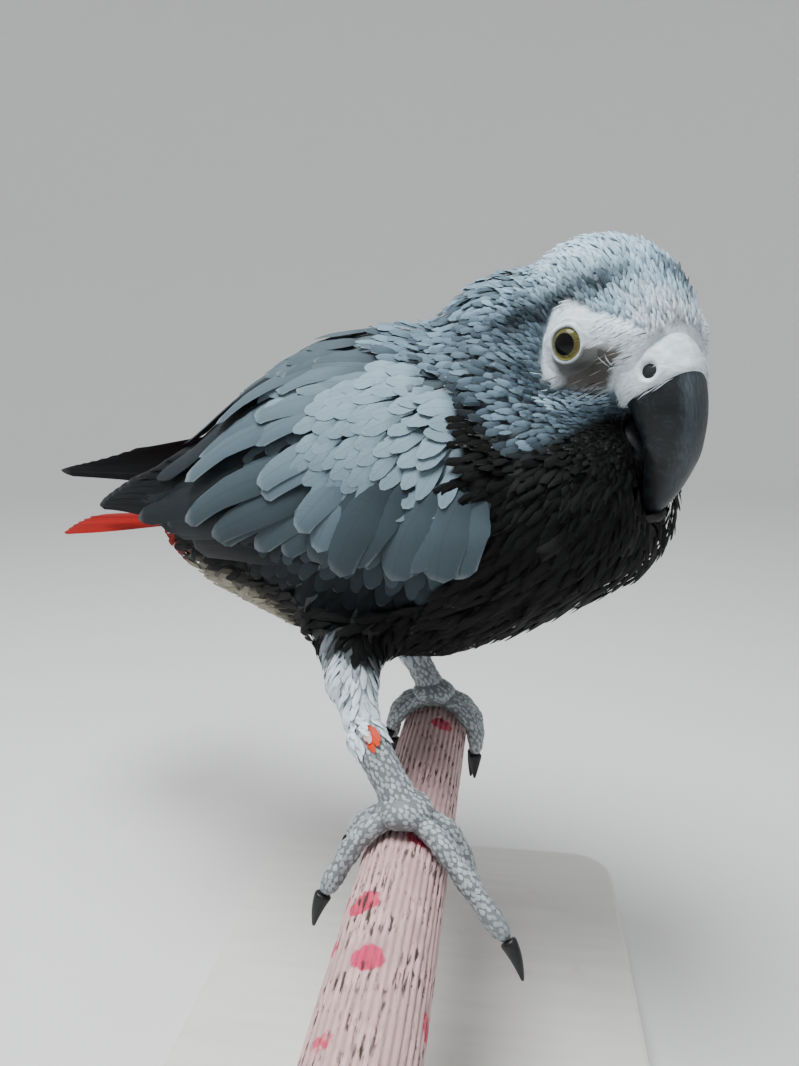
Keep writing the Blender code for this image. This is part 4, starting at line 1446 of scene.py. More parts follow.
def neck_streaks(points, colour):
    rng = np.random.default_rng(13)
    dark = rng.random(len(points)) < 0.30
    return colour * np.where(dark, 0.45, 1.0)[:, None]


def marked(points, colour):
    spot = away_from(0, (points / MM - np.array(LEG_MARK)) / (2.3, 2.3, 3.4))
    return blend(colour, linear(settings("legs").mark), 1 - smooth(0.85, 1.15, spot))


def off_the_wing(points):
    near = distance_to(COVERTS, points) < 3
    return off_the_face(points) * (1 - near * (patch_share(points) > 0.2))


def not_under_wing(points):
    body = into(BODY, points)
    near = 1 - smooth(0.5, 2.5, distance_to(COVERTS, points))
    return (1 - near * (body[:, 2] < 160)) * (1 - top_share(points)) * (1 - near * (patch_share(points) > 0.2))


class PARROT_OT_body_feathers(ParrotOperator):
    """Feathers of the neck, breast, belly, back and legs"""

    bl_idname = "parrot.body_feathers"
    bl_label = "Body feathers"

    def execute(self, context):
        scaled = [Vane(4, 4, root=0.5, end=0.86, rounding=0.15, notch=0.18, seed=k) for k in range(5)]
        soft = [Vane(4, 4, root=0.5, end=0.78, rounding=0.16, notch=0.20, seed=10 + k) for k in range(5)]
        lay_coat(
            "neck_coat", ("neck",), "contour", 33, off_the_wing, edge=neck_edge, vanes=scaled, tone=neck_streaks,
            ruffle=0.35,
            length=3.1, width=0.70, lift=(0.40, 0.95), cup=0.18, spread=0.5, turn=0.22,
        )
        lay_coat(
            "body_coat", ("trunk",), "contour", 34, not_under_wing, edge=0.5, vanes=soft, length=3.7, width=0.60,
            lift=(0.50, 0.95), ruffle=0.25, cup=0.12, turn=0.22, tint=0.5,
        )
        lay_coat(
            "leg_coat", THIGHS, "down", 35, edge=0.5, vanes=soft, length=4.2, width=0.70, lift=(0.35, 0.8),
            ruffle=0.15, tone=marked, tint=0.3, jitter=0.1,
        )
        for side in ("right", "left"):
            ankle = np.array(ANKLES[side]) * MM
            down = np.array((0, SOLES[side], SOLE_HEIGHT)) * MM - ankle

            def at_ankle(points):
                return (away_from(ankle, points) < 7.5 * MM) * ((points - ankle) @ unit(down) < 1.0 * MM)

            def down_shin(points, regions):
                return np.tile(down, (len(points), 1))

            lay_coat(
                "ankle_coat_" + side, THIGHS, "down", 38, at_ankle, even(1.5), 3.6, 0.8,
                (0.1, 0.6), 0.5, 0.2, soft, 4, marked, tint=0.3, base=joined_surface("skin", "foot_" + side),
                way=down_shin,
            )
        return {"FINISHED"}


class WingMap:
    """The outer surface of one side of the bird, as its reach from the wing's own axis."""

    def __init__(self, side):
        self.sign = -1 if side == "right" else 1
        self.along = np.arange(-200.0, 70.0, 4.0)
        self.angles = np.arange(-60.0, 103.0, 3.0)
        self.tip_along, self.tip_height = WING_TIP_PLACE[side]
        parts = [f"wing_{side}_{part}" for part in ("coverts", "secondaries", "primaries")]
        tree = solid_tree(("trunk", "neck", "rump", *parts))
        reach = np.full((len(self.along), len(self.angles)), np.nan)
        for i, x in enumerate(self.along):
            height = float(self.axis_height(x))
            for j, angle in enumerate(np.radians(self.angles)):
                out = Vector((0, self.sign * cos(angle), sin(angle)))
                start = BODY @ (Vector((x, 0, height)) + out * WING_REACH)
                way = (BODY.to_3x3() @ -out).normalized()
                found = tree.ray_cast(start, way, WING_REACH * MM)
                if found[0] is not None:
                    reach[i, j] = WING_REACH - found[3] / MM
        known = [i for i in range(len(self.along)) if np.isfinite(reach[i]).any()]
        for i in range(len(self.along)):
            row = reach[i if i in known else min(known, key=lambda k: abs(k - i))]
            there = np.isfinite(row)
            reach[i] = np.interp(self.angles, self.angles[there], row[there])
        for _ in range(2):
            reach[1:-1] = reach[1:-1] * 0.5 + (reach[:-2] + reach[2:]) * 0.25
            reach[:, 1:-1] = reach[:, 1:-1] * 0.5 + (reach[:, :-2] + reach[:, 2:]) * 0.25
        self.reach = reach

    def axis_height(self, x):
        back = np.clip((WING_AXIS_FALL - x) / (WING_AXIS_FALL - self.tip_along), 0, 1)
        return WING_AXIS_HEIGHT + (self.tip_height - WING_AXIS_HEIGHT) * back

    def places(self, x, angle):
        i = np.clip((x - self.along[0]) / 4.0, 0, len(self.along) - 1.001)
        j = np.clip((angle - self.angles[0]) / 3.0, 0, len(self.angles) - 1.001)
        a, b = i.astype(int), j.astype(int)
        s, t = i - a, j - b
        r = self.reach
        reach = (r[a, b] * (1 - s) + r[a + 1, b] * s) * (1 - t) + (r[a, b + 1] * (1 - s) + r[a + 1, b + 1] * s) * t
        turn = np.radians(angle)
        return columns(x, self.sign * reach * np.cos(turn), self.axis_height(x) + reach * np.sin(turn))

    def lines(self, roots, tips, steps, bow):
        """Centre lines in world space from roots to tips, each as (along, angle), with their normals."""
        u = np.linspace(0, 1, steps + 1)[None, :]
        x = roots[:, :1] * (1 - u) + tips[:, :1] * u
        angle = roots[:, 1:] * (1 - u) + tips[:, 1:] * u + bow * np.sin(u * pi)
        middle = self.places(x, angle)
        along = self.places(x - 1.5, angle) - self.places(x + 1.5, angle)
        round_way = self.places(x, angle + 2) - self.places(x, angle - 2)
        out = np.cross(along, round_way) * self.sign
        radial = middle - columns(x, 0, self.axis_height(x))
        out *= np.sign((out * radial).sum(-1, keepdims=True))
        return out_of(BODY, middle), turned_out(BODY, out)


# Rows of long wing feathers. Controls run from the back down to the belly: root and tip of a feather,
# each as (along, degrees). Then how many, half width, lift of root and tip, shade, edge and roll.
WING_ROWS = {
    "secondaries": dict(
        controls=(
            (-10, 62, -78, 44), (-8, 46, -86, 26), (-4, 30, -96, 12), (0, 14, -98, 0), (2, 0, -86, -12),
            (4, -12, -66, -24),
        ),
        count=12, half=5.6, lift=(-3.0, -1.1), shade=0.24, edge=0.53, roll=6.0,
    ),
    "greater": dict(
        controls=(
            (0, 56, -50, 38), (2, 46, -56, 25), (4, 34, -64, 10), (6, 24, -63, -4), (8, 17, -51, -13),
            (12, 12, -33, -12), (16, 9, -12, -11),
        ),
        count=10, half=4.9, lift=(-2.6, -0.2), shade=0.31, edge=0.58, roll=10.0,
    ),
    "median": dict(
        controls=((8, 52, -22, 44), (8, 40, -24, 28), (10, 30, -20, 14), (12, 22, -10, 0), (16, 17, 2, -8)),
        count=7, half=4.9, lift=(-2.0, 0.3), shade=0.46, edge=0.58, roll=10.0,
    ),
    "lower": dict(
        controls=((20, 20, 0, -15), (28, 17, 13, -12), (36, 15, 25, -15), (42, 15, 34, -15), (47, 14, 41, -13)),
        count=7, half=6.3, lift=(-1.2, 1.4), shade=0.29, edge=0.57, roll=8.0,
    ),
}
PRIMARY_ROOTS = ((-40, 30), (-44, 20), (-46, 8), (-40, -6))
PRIMARY_COUNT = 9


def control_rows(controls, count, rng, jitter):
    table = np.array(controls, float)
    at = np.linspace(0, len(table) - 1, count) + rng.normal(0, jitter, count)
    found = np.stack([np.interp(at, np.arange(len(table)), table[:, k]) for k in range(4)], 1)
    return found[:, :2], found[:, 2:]


def lay_wing_rows(side, ruffle):
    """The long coverts and secondaries of one wing, in rows that fan from the bend of the wing."""
    wing = WingMap(side)
    rng = np.random.default_rng(50 + (side == "left"))
    long_vane = [Vane(6, 9, root=0.55, widest=0.45, end=0.80, rounding=0.10, notch=0.02, seed=k) for k in range(3)]
    p = settings("plumage")
    covers, flights = Feathers(), Feathers()
    for number, (name, row) in enumerate(WING_ROWS.items()):
        count = row["count"]
        roots, tips = control_rows(row["controls"], count, rng, 0.20 * ruffle)
        tips = tips + rng.normal(0, 1, tips.shape) * (2.2 * ruffle, 1.6 * ruffle)
        lines, out = wing.lines(roots, tips, 8, rng.normal(0, 1.5 * ruffle, (count, 1)) + 1.5)
        length = lengths_of(lines)
        root = row["lift"][0] * MM + rng.uniform(0, 0.2, count) * MM
        tip = row["lift"][1] * MM + rng.uniform(-0.5, 0.3, count) * MM * ruffle
        tip = tip + 1.7 * MM * (rng.random(count) < 0.3) * ruffle
        colour = linear(p.wing) * row["shade"] * rng.uniform(0.90, 1.06, (count, 1))
        # Painted shade: the rows darken low down and towards the back, and grow lighter towards the front
        lowness = 1 - smooth(-24, 8, tips[:, 1])
        backness = smooth(-10, -75, (roots[:, 0] + tips[:, 0]) / 2)
        frontness = smooth(18, 42, tips[:, 0])
        low_shade = 0.75 if name == "secondaries" else 0.48
        colour = colour * ((1 - low_shade * lowness) * (1 - 0.35 * backness) * (1 + 0.45 * frontness))[:, None]
        if name == "secondaries":
            colour = blend(colour, linear(p.flight) * 1.1, np.maximum(0.50 + 0.42 * backness, 0.8 * lowness))
        finish = columns(rng.random(count), np.clip(row["edge"] + rng.normal(0, 0.02, count), 0, 1), 0.45)
        spot, patch = tile_spots(count, number, 4)
        roll = wing.sign * -np.radians(row["roll"] + rng.normal(0, 3.0 * ruffle, count))
        pick = rng.integers(0, 3, count)
        for k, vane in enumerate(long_vane):
            m = pick == k
            if m.any():
                gathered = flights if name == "secondaries" else covers
                gathered.lay(
                    vane, lines[m], out[m], row["half"] * MM, length[m], (root[m], tip[m]), colour[m], finish[m],
                    spot[m], patch[m],
                    cup=0.16, thick=0.05, roll=roll[m], rise=0.7, sway=rng.normal(0, 0.02, m.sum()),
                )
    # Primaries, long and dark, gathered to the wing's point
    count = PRIMARY_COUNT
    at = np.linspace(0, 1, count)
    reach = wing.tip_along
    roots = np.stack([np.interp(at, np.linspace(0, 1, 4), [r[k] for r in PRIMARY_ROOTS]) for k in (0, 1)], 1)
    tips = columns(reach + 46 * (1 - at) ** 1.5 + 1.5, 34 * (1 - at) ** 1.1 + 4)
    lines, out = wing.lines(roots, tips, 10, 0.5)
    length = lengths_of(lines)
    order = (1 - at) * 1.2 * MM
    colour = linear(p.flight) * 1.25 * rng.uniform(0.85, 1.15, (count, 1))
    finish = columns(rng.random(count), 0.54, 0.8)
    spot, patch = tile_spots(count, 3, 4)
    blade = Vane(6, 14, root=0.5, widest=0.3, end=0.42, rounding=0.05, notch=0.01, seed=5)
    flights.lay(
        blade, lines, out, 5.2 * MM, length, (order - 3.4 * MM, order - 1.2 * MM), colour, finish,
        spot, patch, cup=0.12, thick=0.06, roll=wing.sign * -radians(5), rise=0.8,
    )
    covers.piece("covert_rows_" + side, feather_look("wing"), "grey_plumage")
    long_parts = (f"wing_{side}_secondaries", f"wing_{side}_primaries")
    flights.piece("flights_" + side, feather_look("flight"), "flight_feathers", *long_parts)


def lengths_of(lines):
    return np.linalg.norm(np.diff(lines, axis=1), axis=2).sum(1)


def tile_spots(count, row, rows):
    """A strip of the map for a row of long feathers: one roomy patch for each."""
    width = 1 / count
    middle = columns((np.arange(count) + 0.5) * width, (row + 0.5) / rows)
    return middle, np.tile((width * 0.9, 0.92 / rows), (count, 1))


def top_share(points):
    """1 over the back and the upper wing, where long smooth feathers lie."""
    body = into(BODY, points)
    x, y, z = body.T
    return smooth(183, 190, z + 0.05 * x) * smooth(34, 22, x)


def whole_patch(points):
    near = distance_to(COVERTS, points) < 3.5
    return patch_share(points) * near


def low_in_front(points):
    return 1 - 0.9 * smooth(22, 32, into(BODY, points)[:, 0])


def off_patch(points):
    return (1 - patch_share(points)) * (1 - top_share(points))


def mantle_tone(points, colour):
    body = into(BODY, points)
    base = blend(linear(settings("plumage").back), linear(settings("plumage").wing), smooth(196, 186, body[:, 2]))
    darker = np.interp(body[:, 2], (184, 198), (0.76, 0.62))
    return base * (darker * (1 + 0.08 * wavering(points, 0.02, 8)))[:, None]


def patch_tone(points, colour):
    # Painted shade: the patch darkens downwards
    height_shade = np.interp(into(BODY, points)[:, 2], (157, 165, 177, 190), (0.27, 0.45, 0.68, 0.80))[:, None]
    return height_shade * linear(settings("plumage").wing) * (1 + 0.06 * wavering(points, 0.012, 9))[:, None]


# Painted shade: the wing's under coat is darkened so that it shows as shadow beneath the rows of coverts, darkest
# low down
def under_rows_shade(points, colour):
    return colour * np.interp(into(BODY, points)[:, 2], (143, 160), (0.05, 0.25))[:, None]


class PARROT_OT_wing_feathers(ParrotOperator):
    """Mantle, small-scaled wing patch, rows of coverts, secondaries and primaries"""

    bl_idname = "parrot.wing_feathers"
    bl_label = "Wing feathers"

    def execute(self, context):
        broad = [Vane(4, 6, root=0.5, end=0.78, rounding=0.20, notch=0.03, seed=20 + k) for k in range(3)]
        small = [Vane(4, 3, root=0.6, end=0.85, rounding=0.24, seed=k) for k in range(2)]
        lay_coat(
            "wing_under_coat", WINGS, "wing", 41, off_patch, even(4.2), 3.0, 0.66, (0.05, 0.45), 0.5, 0.1, broad, 4,
            under_rows_shade, 0.08,
        )
        lay_coat(
            "mantle_coat", WINGS + ("trunk",), "wing", 42, top_share, even(5.0), 4.8, 0.66, (0.25, 0.98), 0.57,
            0.12, broad, 6, mantle_tone, 0.08, 0.12, 0.04, 0.12, tint=0.5,
        )
        lay_coat(
            "wing_patch_coat", WINGS + ("neck", "trunk"), "wing", 43, whole_patch, even(3.0), 3.2, 0.84,
            (0.90, 1.08), 0.54, 0.03, small, 3, patch_tone, 0.05, 0.05, 0.02, 0.03, tint=0.3, jitter=0.02,
            rooted=low_in_front,
        )
        for side in ("right", "left"):
            lay_wing_rows(side, 1.0 if side == "right" else 0.5)
        return {"FINISHED"}


class PARROT_OT_tail(ParrotOperator):
    """A fan of red tail feathers"""

    bl_idname = "parrot.tail"
    bl_label = "Tail"

    def execute(self, context):
        rng = np.random.default_rng(60)
        count = TAIL_COUNT
        share = np.linspace(-1, 1, count)
        u = np.linspace(0, 1, 9)[None, :]
        x = TAIL_ROOT[0] + (TAIL_TIP[0] + 7 * np.abs(share)[:, None] ** 2 - TAIL_ROOT[0]) * u
        y = share[:, None] * (5 + 13.5 * u)
        z = TAIL_ROOT[1] + (TAIL_TIP[1] - TAIL_ROOT[1]) * u - 0.10 * np.abs(y) + 0.9
        order = (0.7 - np.abs(share)) * 1.3
        place = columns(x, y, z + order[:, None])
        out = columns(0, y * 0.012, 1)
        lines = out_of(BODY, place)
        length = lengths_of(lines)
        colour = linear(settings("plumage").tail) * rng.uniform(0.85, 1.12, (count, 1))
        finish = columns(rng.random(count), 0.46, 0.6)
        spot, patch = tile_spots(count, 0, 1)
        gathered = Feathers()
        blade = Vane(6, 12, root=0.4, widest=0.7, end=0.86, rounding=0.06, notch=0.012, seed=7)
        roll = -np.sign(share) * radians(3.5)
        gathered.lay(
            blade, lines, turned_out(BODY, out), 5.6 * MM, length, (0, 0), colour, finish, spot, patch, cup=0.10,
            thick=0.10, roll=roll,
        )
        gathered.piece("tail_feathers", feather_look("flight"), "tail_red", "tail")
        return {"FINISHED"}


def eye_turn(sign):
    pole = Vector((0.46, sign, 0.22)).normalized()
    return pole.to_track_quat("Z", "X").to_matrix().to_4x4()


class PARROT_OT_eyes(ParrotOperator):
    """Eyes with a pale iris, each in folded bare lids"""

    bl_idname = "parrot.eyes"
    bl_label = "Eyes and lids"

    def execute(self, context):
        glossy, white = eye_material(), face_material()
        opening = settings("head").lid_opening
        for side, sign in (("right", -1), ("left", 1)):
            middle = Vector((EYE_MIDDLE[0], sign * EYE_MIDDLE[1], EYE_MIDDLE[2]))
            axes = HEAD @ Matrix.Translation(middle) @ eye_turn(sign)
            bm = bmesh.new()
            bmesh.ops.create_uvsphere(bm, u_segments=64, v_segments=44, radius=EYE_RADIUS)
            in_order(bm)
            for vert in bm.verts:
                angle = acos(max(-1, min(1, vert.co.z / EYE_RADIUS)))
                swell = max(0.0, 1 - (angle / radians(42)) ** 2)
                vert.co *= 1 + 0.035 * swell
            mesh = mesh_of(bm, "eyeball_" + side)
            local = vertices_of(mesh)
            angle = np.arccos(np.clip(local[:, 2] / away_from(0, local), -1, 1)) / pi
            aside = local[:, :2] / np.maximum(np.linalg.norm(local[:, :2], axis=1, keepdims=True), 1e-6)
            mapped(mesh, "iris", aside * angle[:, None])
            mesh.transform(axes)
            # 1 on the lower part of the eye and 0 on its upper part, for the painted shade that the upper lid casts
            # on the iris
            low = smooth(1.5, -4.0, into(HEAD, vertices_of(mesh))[:, 2] - EYE_MIDDLE[2])
            colours_on(mesh, "coat", columns(low, low, low))
            ball = show("eyeball_" + side, mesh)
            finished(unwrapped(ball), glossy, "eye", "eye_" + side)
            self.lids(side, sign, axes, opening, white)
        return {"FINISHED"}

    def lids(self, side, sign, axes, opening, white):
        lip = EYE_RADIUS * sin(opening)
        high = EYE_RADIUS * cos(opening)
        bm = spun([(lip + out, high + up) for out, up in LID_SECTION], 1e-4)
        skin = skin_surface()
        for vert in bm.verts:
            reach = hypot(vert.co.x, vert.co.y)
            turn = atan2(vert.co.y, vert.co.x)
            long = 1 + 0.05 * cos(2 * turn)
            fold = 0.10 * sin(turn * 9 + reach * 3) * max(0.0, min(1.0, (reach - lip) / 1.2))
            place = axes @ Vector((vert.co.x * long, vert.co.y / long, vert.co.z + fold))
            share = smooth(lip + 0.8, lip + 3.0, reach)
            on_skin, normal = skin.nearest(np.array([place]))
            rise = (0.50 * (1 - smooth(lip + 2.0, lip + 4.1, reach)) - 0.12) * MM
            target = Vector(on_skin[0] + normal[0] * rise)
            vert.co = place.lerp(target, float(share))
        bmesh.ops.recalc_face_normals(bm, faces=bm.faces)
        outside = (HEAD.to_3x3() @ Vector((0, sign, 0))).normalized()
        if sum((f.normal.dot(outside) for f in bm.faces)) < 0:
            bmesh.ops.reverse_faces(bm, faces=bm.faces)
        lids = show("lids_" + side, smooth_faces(mesh_from(bm, "lids_" + side)))
        given(lids.modifiers.new("Wall", "SOLIDIFY"), thickness=0.35 * MM, offset=-1)
        applied(lids)
        places = vertices_of(lids.data)
        local = into(axes, places)
        reach = away_from(0, local[:, :2])
        head = into(HEAD, places)
        # Painted shade on the lids: brownish skin below the eye in the green mark, and in the red mark the
        # near-black crease at the lid's lip and the darkest shade just under the eye
        low = face_shade(head) * smooth(lip + 0.2, lip + 0.9, reach)
        rim = np.maximum((1 - smooth(lip - 0.1, lip + 0.25, reach)) * 0.75, 0.6 * low * under_eye(head))
        colours_on(lids.data, "coat", columns(rim, low, 0))
        finished(unwrapped(lids), white, "cere_skin")


def bill_ring(row, count=28, ridge=0.72, swell=0.0, droop=0.0):
    """An oval across the bill, narrower at its ridge, from (angle, outer, inner, half width). Its sides droop."""
    angle, outer, inner, half_width = row
    outer, half_width = outer + swell, half_width + swell
    start = Vector((BILL_PIVOT[0], 0, BILL_PIVOT[1]))
    middle, half = (outer + inner) / 2, (outer - inner) / 2
    ring = []
    for turn in turns(count):
        out = cos(turn)
        width = half_width * sin(turn) * (1 - (1 - ridge) * max(out, 0))
        a = radians(angle - droop * min(1.0, 1.25 * (1 - out) / 2))
        way = Vector((cos(a), 0, sin(a)))
        ring.append(HEAD @ (start + way * (middle + half * out) + Vector((0, width, 0))))
    return ring


def length_map(mesh, across, along):
    """A map in centimetres: across a piece, then along it."""
    mapped(mesh, "length", columns(across, along))


class PARROT_OT_bill(ParrotOperator):
    """Both halves of the bill, and the white cere with its nostrils"""

    bl_idname = "parrot.bill"
    bl_label = "Bill and cere"

    def execute(self, context):
        horn = horn_material()
        angles = np.linspace(98, -61.5, 44)
        rows = between(UPPER_BILL, angles)
        rings = []
        for angle, (outer, inner, half_width) in zip(angles, rows):
            notch = 1.3 * exp(-(((angle + 4) / 7) ** 2))
            rings.append(bill_ring((angle, outer, inner + notch, half_width)))
        upper = show("upper_bill", lofted(rings, "upper_bill"))
        self.finish_horn(upper, horn, "bill_upper")
        rings = []
        places = np.linspace(7, 28.8, 22)
        for along, (top, bottom, half_width) in zip(places, between(LOWER_BILL, places)):
            middle, half = (top + bottom) / 2, (top - bottom) / 2
            ring = []
            for turn in turns(28):
                rise = sin(turn)
                side = cos(turn) * (1 - 0.18 * max(0.0, -rise))
                ring.append(HEAD @ Vector((along, half_width * side, middle + half * rise)))
            rings.append(ring)
        lower = show("lower_bill", lofted(rings, "lower_bill"))
        self.finish_horn(lower, horn, "bill_lower")
        self.cere()
        return {"FINISHED"}

    def finish_horn(self, obj, horn, node):
        smooth_faces(softened(obj, 1).data)
        head = into(HEAD, vertices_of(obj.data))
        dx, dz = head[:, 0] - BILL_PIVOT[0], head[:, 2] - BILL_PIVOT[1]
        reach, turn = np.hypot(dx, dz), np.arctan2(dz, dx)
        if node == "bill_upper":
            length_map(obj.data, (np.abs(head[:, 1]) + reach) * 0.1, turn * 2.2)
            # The ridge of the upper bill is marked for a paler painted highlight
            ridge = smooth(18.4, 20.4, reach) * smooth(4.0, 1.2, np.abs(head[:, 1]))
            ridge = ridge * smooth(-40, 10, np.degrees(turn))
        else:
            length_map(obj.data, (np.abs(head[:, 1]) + head[:, 0]) * 0.1, head[:, 2] * 0.1)
            ridge = np.zeros(len(head))
        colours_on(obj.data, "coat", columns(ridge, 0, 0))
        finished(unwrapped(obj), horn, "horn", node)

    def cere(self):
        rings = []
        last = len(CERE_ANGLES) - 1
        for k, angle in enumerate(CERE_ANGLES):
            outer, inner, half_width = between(UPPER_BILL, [min(angle, 97)])[0]
            swell = 1.1 - 0.5 * float(smooth(84, 50, angle)) - 1.5 * float(smooth(86, 103, angle))
            swell -= {0: 1.0, 1: 0.3}.get(min(k, last - k), 0)
            droop = 15 * float(smooth(66, 49, angle))
            rings.append(bill_ring((angle, outer, inner - 1.3, half_width), 40, 0.75, swell, droop))
        cere = show("cere_skin", lofted(rings, "cere_skin"))
        smooth_faces(softened(cere, 2).data)
        places = vertices_of(cere.data)
        head = into(HEAD, places)
        normals = read(cere.data.vertices, "normal", 3)
        away = away_from(NOSTRIL, head)
        far = away_from(np.array(NOSTRIL) * (1, -1, 1), head)
        near = np.minimum(away, far)
        pit = 1 - smooth(1.0, 2.0, near)
        lip = np.exp(-(((near - 2.5) / 0.6) ** 2))
        fold = wavering(places, 0.006, 21) * 0.10
        push = (-1.8 * pit + 0.25 * lip + fold) * MM
        places = places + normals * push[:, None]
        write(cere.data.vertices, "co", places)
        cere.data.update()
        # The nostril pits are marked near black: painted shade in the recess
        colours_on(cere.data, "coat", columns(smooth(0.25, 0.85, pit), 0, 0))
        finished(unwrapped(cere), bpy.data.materials["face_skin"], "cere_skin", "cere")


def toe_line(side, way, slant, grip, length, steps=20):
    """Points from the sole over the perch and straight on, in millimetres of the world."""
    reach = PERCH_RADIUS + TOE_RADIUS + 0.3
    points = []
    grip = radians(grip)
    for k in range(steps + 1):
        walked = length * k / steps
        angle = min(walked / reach, grip)
        rest = max(0.0, walked - reach * grip)
        x = reach * sin(angle) + rest * cos(angle)
        z = reach * cos(angle) - rest * sin(angle)
        points.append(Vector((way * x, SOLES[side] + slant * x, PERCH_AXIS + z)) * MM)
    return points


def claw_line(toe, length, start_share=0.55, steps=10):
    ahead = (toe[-1] - toe[-2]).normalized()
    place = toe[-1] + ahead * (TOE_RADIUS * start_share * MM)
    way = ahead.copy()
    points = []
    for _ in range(steps + 1):
        points.append(place.copy())
        way = (way + Vector((0, 0, -1)) * 0.3 * 4 / steps).normalized()
        place += way * (length * MM / steps)
    return points


def heading(points, k):
    """The way a path runs past one of its points."""
    return (points[min(k + 1, len(points) - 1)] - points[max(k - 1, 0)]).normalized()


def tube_rings(points, radii, count=16, flatten=1.0):
    """Rings across a path, kept upright."""
    rings = []
    for k, point in enumerate(points):
        ahead = heading(points, k)
        side = ahead.cross(Vector((0, 0, 1)))
        side = side.normalized() if side.length > 0.05 else Vector((0, 1, 0))
        up = side.cross(ahead).normalized()
        rings.append([point + (side * cos(turn) + up * sin(turn) * flatten) * radii[k] for turn in turns(count)])
    return rings


def joined_mesh(meshes, name):
    bm = bmesh.new()
    for mesh in meshes:
        bm.from_mesh(mesh)
        bpy.data.meshes.remove(mesh)
    return smooth_faces(mesh_from(bm, name))


class PARROT_OT_feet(ParrotOperator):
    """Scaled feet that grip the perch, with curved black claws"""

    bl_idname = "parrot.feet"
    bl_label = "Feet and claws"

    def execute(self, context):
        legs = settings("legs")
        scaled, black = foot_material(), horn_material("claw_horn", True)
        for side in ("right", "left"):
            skins, claws, line_points, line_ways = [], [], [], []
            ankle = Vector(ANKLES[side]) * MM
            sole = Vector((0, SOLES[side], SOLE_HEIGHT)) * MM
            shin = [ankle + (sole - ankle) * (k / 12) for k in range(13)]
            widths = [(4.35 * (1.10 - 0.12 * sin(pi * k / 12)) + 0.12 * sin(k * 2.3)) * MM for k in range(13)]
            above = (ankle - sole).normalized()
            shin = [ankle + above * (reach * MM) for reach in (3.2, 2.6, 1.4)] + shin
            widths = [1.6 * MM, 3.0 * MM, 4.3 * MM] + widths
            skins.append(lofted(tube_rings(shin, widths, 20), "shin"))
            bm = bmesh.new()
            bmesh.ops.create_uvsphere(bm, u_segments=24, v_segments=16, radius=1)
            in_order(bm)
            bmesh.ops.scale(bm, verts=bm.verts, vec=Vector((7.0, 6.6, 4.5)) * MM)
            bmesh.ops.translate(bm, verts=bm.verts, vec=sole)
            skins.append(mesh_of(bm, "pad"))
            line_points += shin
            line_ways += [(sole - ankle).normalized()] * len(shin)
            for number, way, slant, grip, length, claw in TOES[side]:
                path = toe_line(side, way, slant, grip, length)
                joints = TOE_JOINTS[number - 1]
                radii = []
                for k in range(len(path)):
                    share = k / (len(path) - 1)
                    swell = 0.72 + 0.28 * min(1, 4 * share) - 0.2 * share
                    pads = 0.10 * cos(2 * pi * joints * share)
                    radii.append((TOE_RADIUS * (swell - 0.02 - pads * 0.6) - 0.28) * MM)
                end = path[-1] + (path[-1] - path[-2]).normalized() * 1.6 * MM
                skins.append(lofted(tube_rings(path + [end], radii + [radii[-1] * 0.55], 16), "toe"))
                line_points += path
                line_ways += [heading(path, k) for k in range(len(path))]
                nail = claw_line(path, claw)
                sharp = [(2.0 * (1 - 0.86 * (k / 10) ** 1.25)) * MM for k in range(11)]
                one = lofted(tube_rings(nail, sharp, 14, 1.15), "claw")
                places = vertices_of(one)
                length_map(one, places[:, 1] * 100, away_from(nail[0], places) * 100)
                claws.append(one)
            skin = show("foot_" + side, joined_mesh(skins, "foot_" + side))
            unwrapped(skin)
            base = np.tile(linear(legs.scale_dark), (len(skin.data.vertices), 1))
            colours_on(skin.data, "coat", base)
            finished(skin, scaled, "foot_skin", f"tarsus_{side}", *(f"toe_{side}_{n}" for n in "1234"))
            points, ways = (np.array([tuple(v) for v in values]) for values in (line_points, line_ways))
            self.scales(side, skin, points, ways, scaled)
            nails = show("claws_" + side, joined_mesh(claws, "claws_" + side))
            unwrapped(softened(nails, 1))
            finished(nails, black, "horn", *(f"claw_{side}_{n}" for n in "1234"))
        return {"FINISHED"}

    def scales(self, side, skin, points, ways, scaled):
        legs = settings("legs")
        surface = Surface(skin.data)
        tree = tree_of(points)
        places, normals, spots, gaps = surface.scattered(
            even(legs.scale_step / MM), lambda points: np.ones(len(points)), 80,
        )
        index = np.array([tree.find(place)[1] for place in places])
        free = places[:, 2] > (PERCH_AXIS * MM - 30 * MM)
        places, normals, spots, gaps, index = (v[free] for v in (places, normals, spots, gaps, index))
        rng = np.random.default_rng(81)
        n = len(places)
        long = gaps * 1.5 * rng.uniform(0.85, 1.15, n)
        line, out = traced(surface, places, normals, ways[index], long, 2)
        pale = linear(legs.scale_pale)
        toeward = smooth(14, 30, np.abs(places[:, 0]) / MM)
        colour = pale * rng.uniform(0.82, 1.12, (n, 1)) * (1 - 0.45 * toeward)[:, None]
        # Painted shade: scales that face down take the darker skin colour
        colour = blend(colour, linear(legs.scale_dark) * 1.3, 0.45 * smooth(0.1, -0.6, normals[:, 2]))
        gathered = Feathers()
        vane = Vane(2, 2, root=0.8, widest=0.4, end=0.85, rounding=0.30)
        finish = np.tile((0.5, 0.5, 0.0), (n, 1))
        gathered.lay(
            vane, line, out, gaps * 0.76, long, (-0.02 * MM, 0.16 * MM), colour, finish, spots, patch_sizes(spots),
            cup=0.35, thick=0.35,
        )
        gathered.piece("foot_scales_" + side, scaled, "foot_skin")


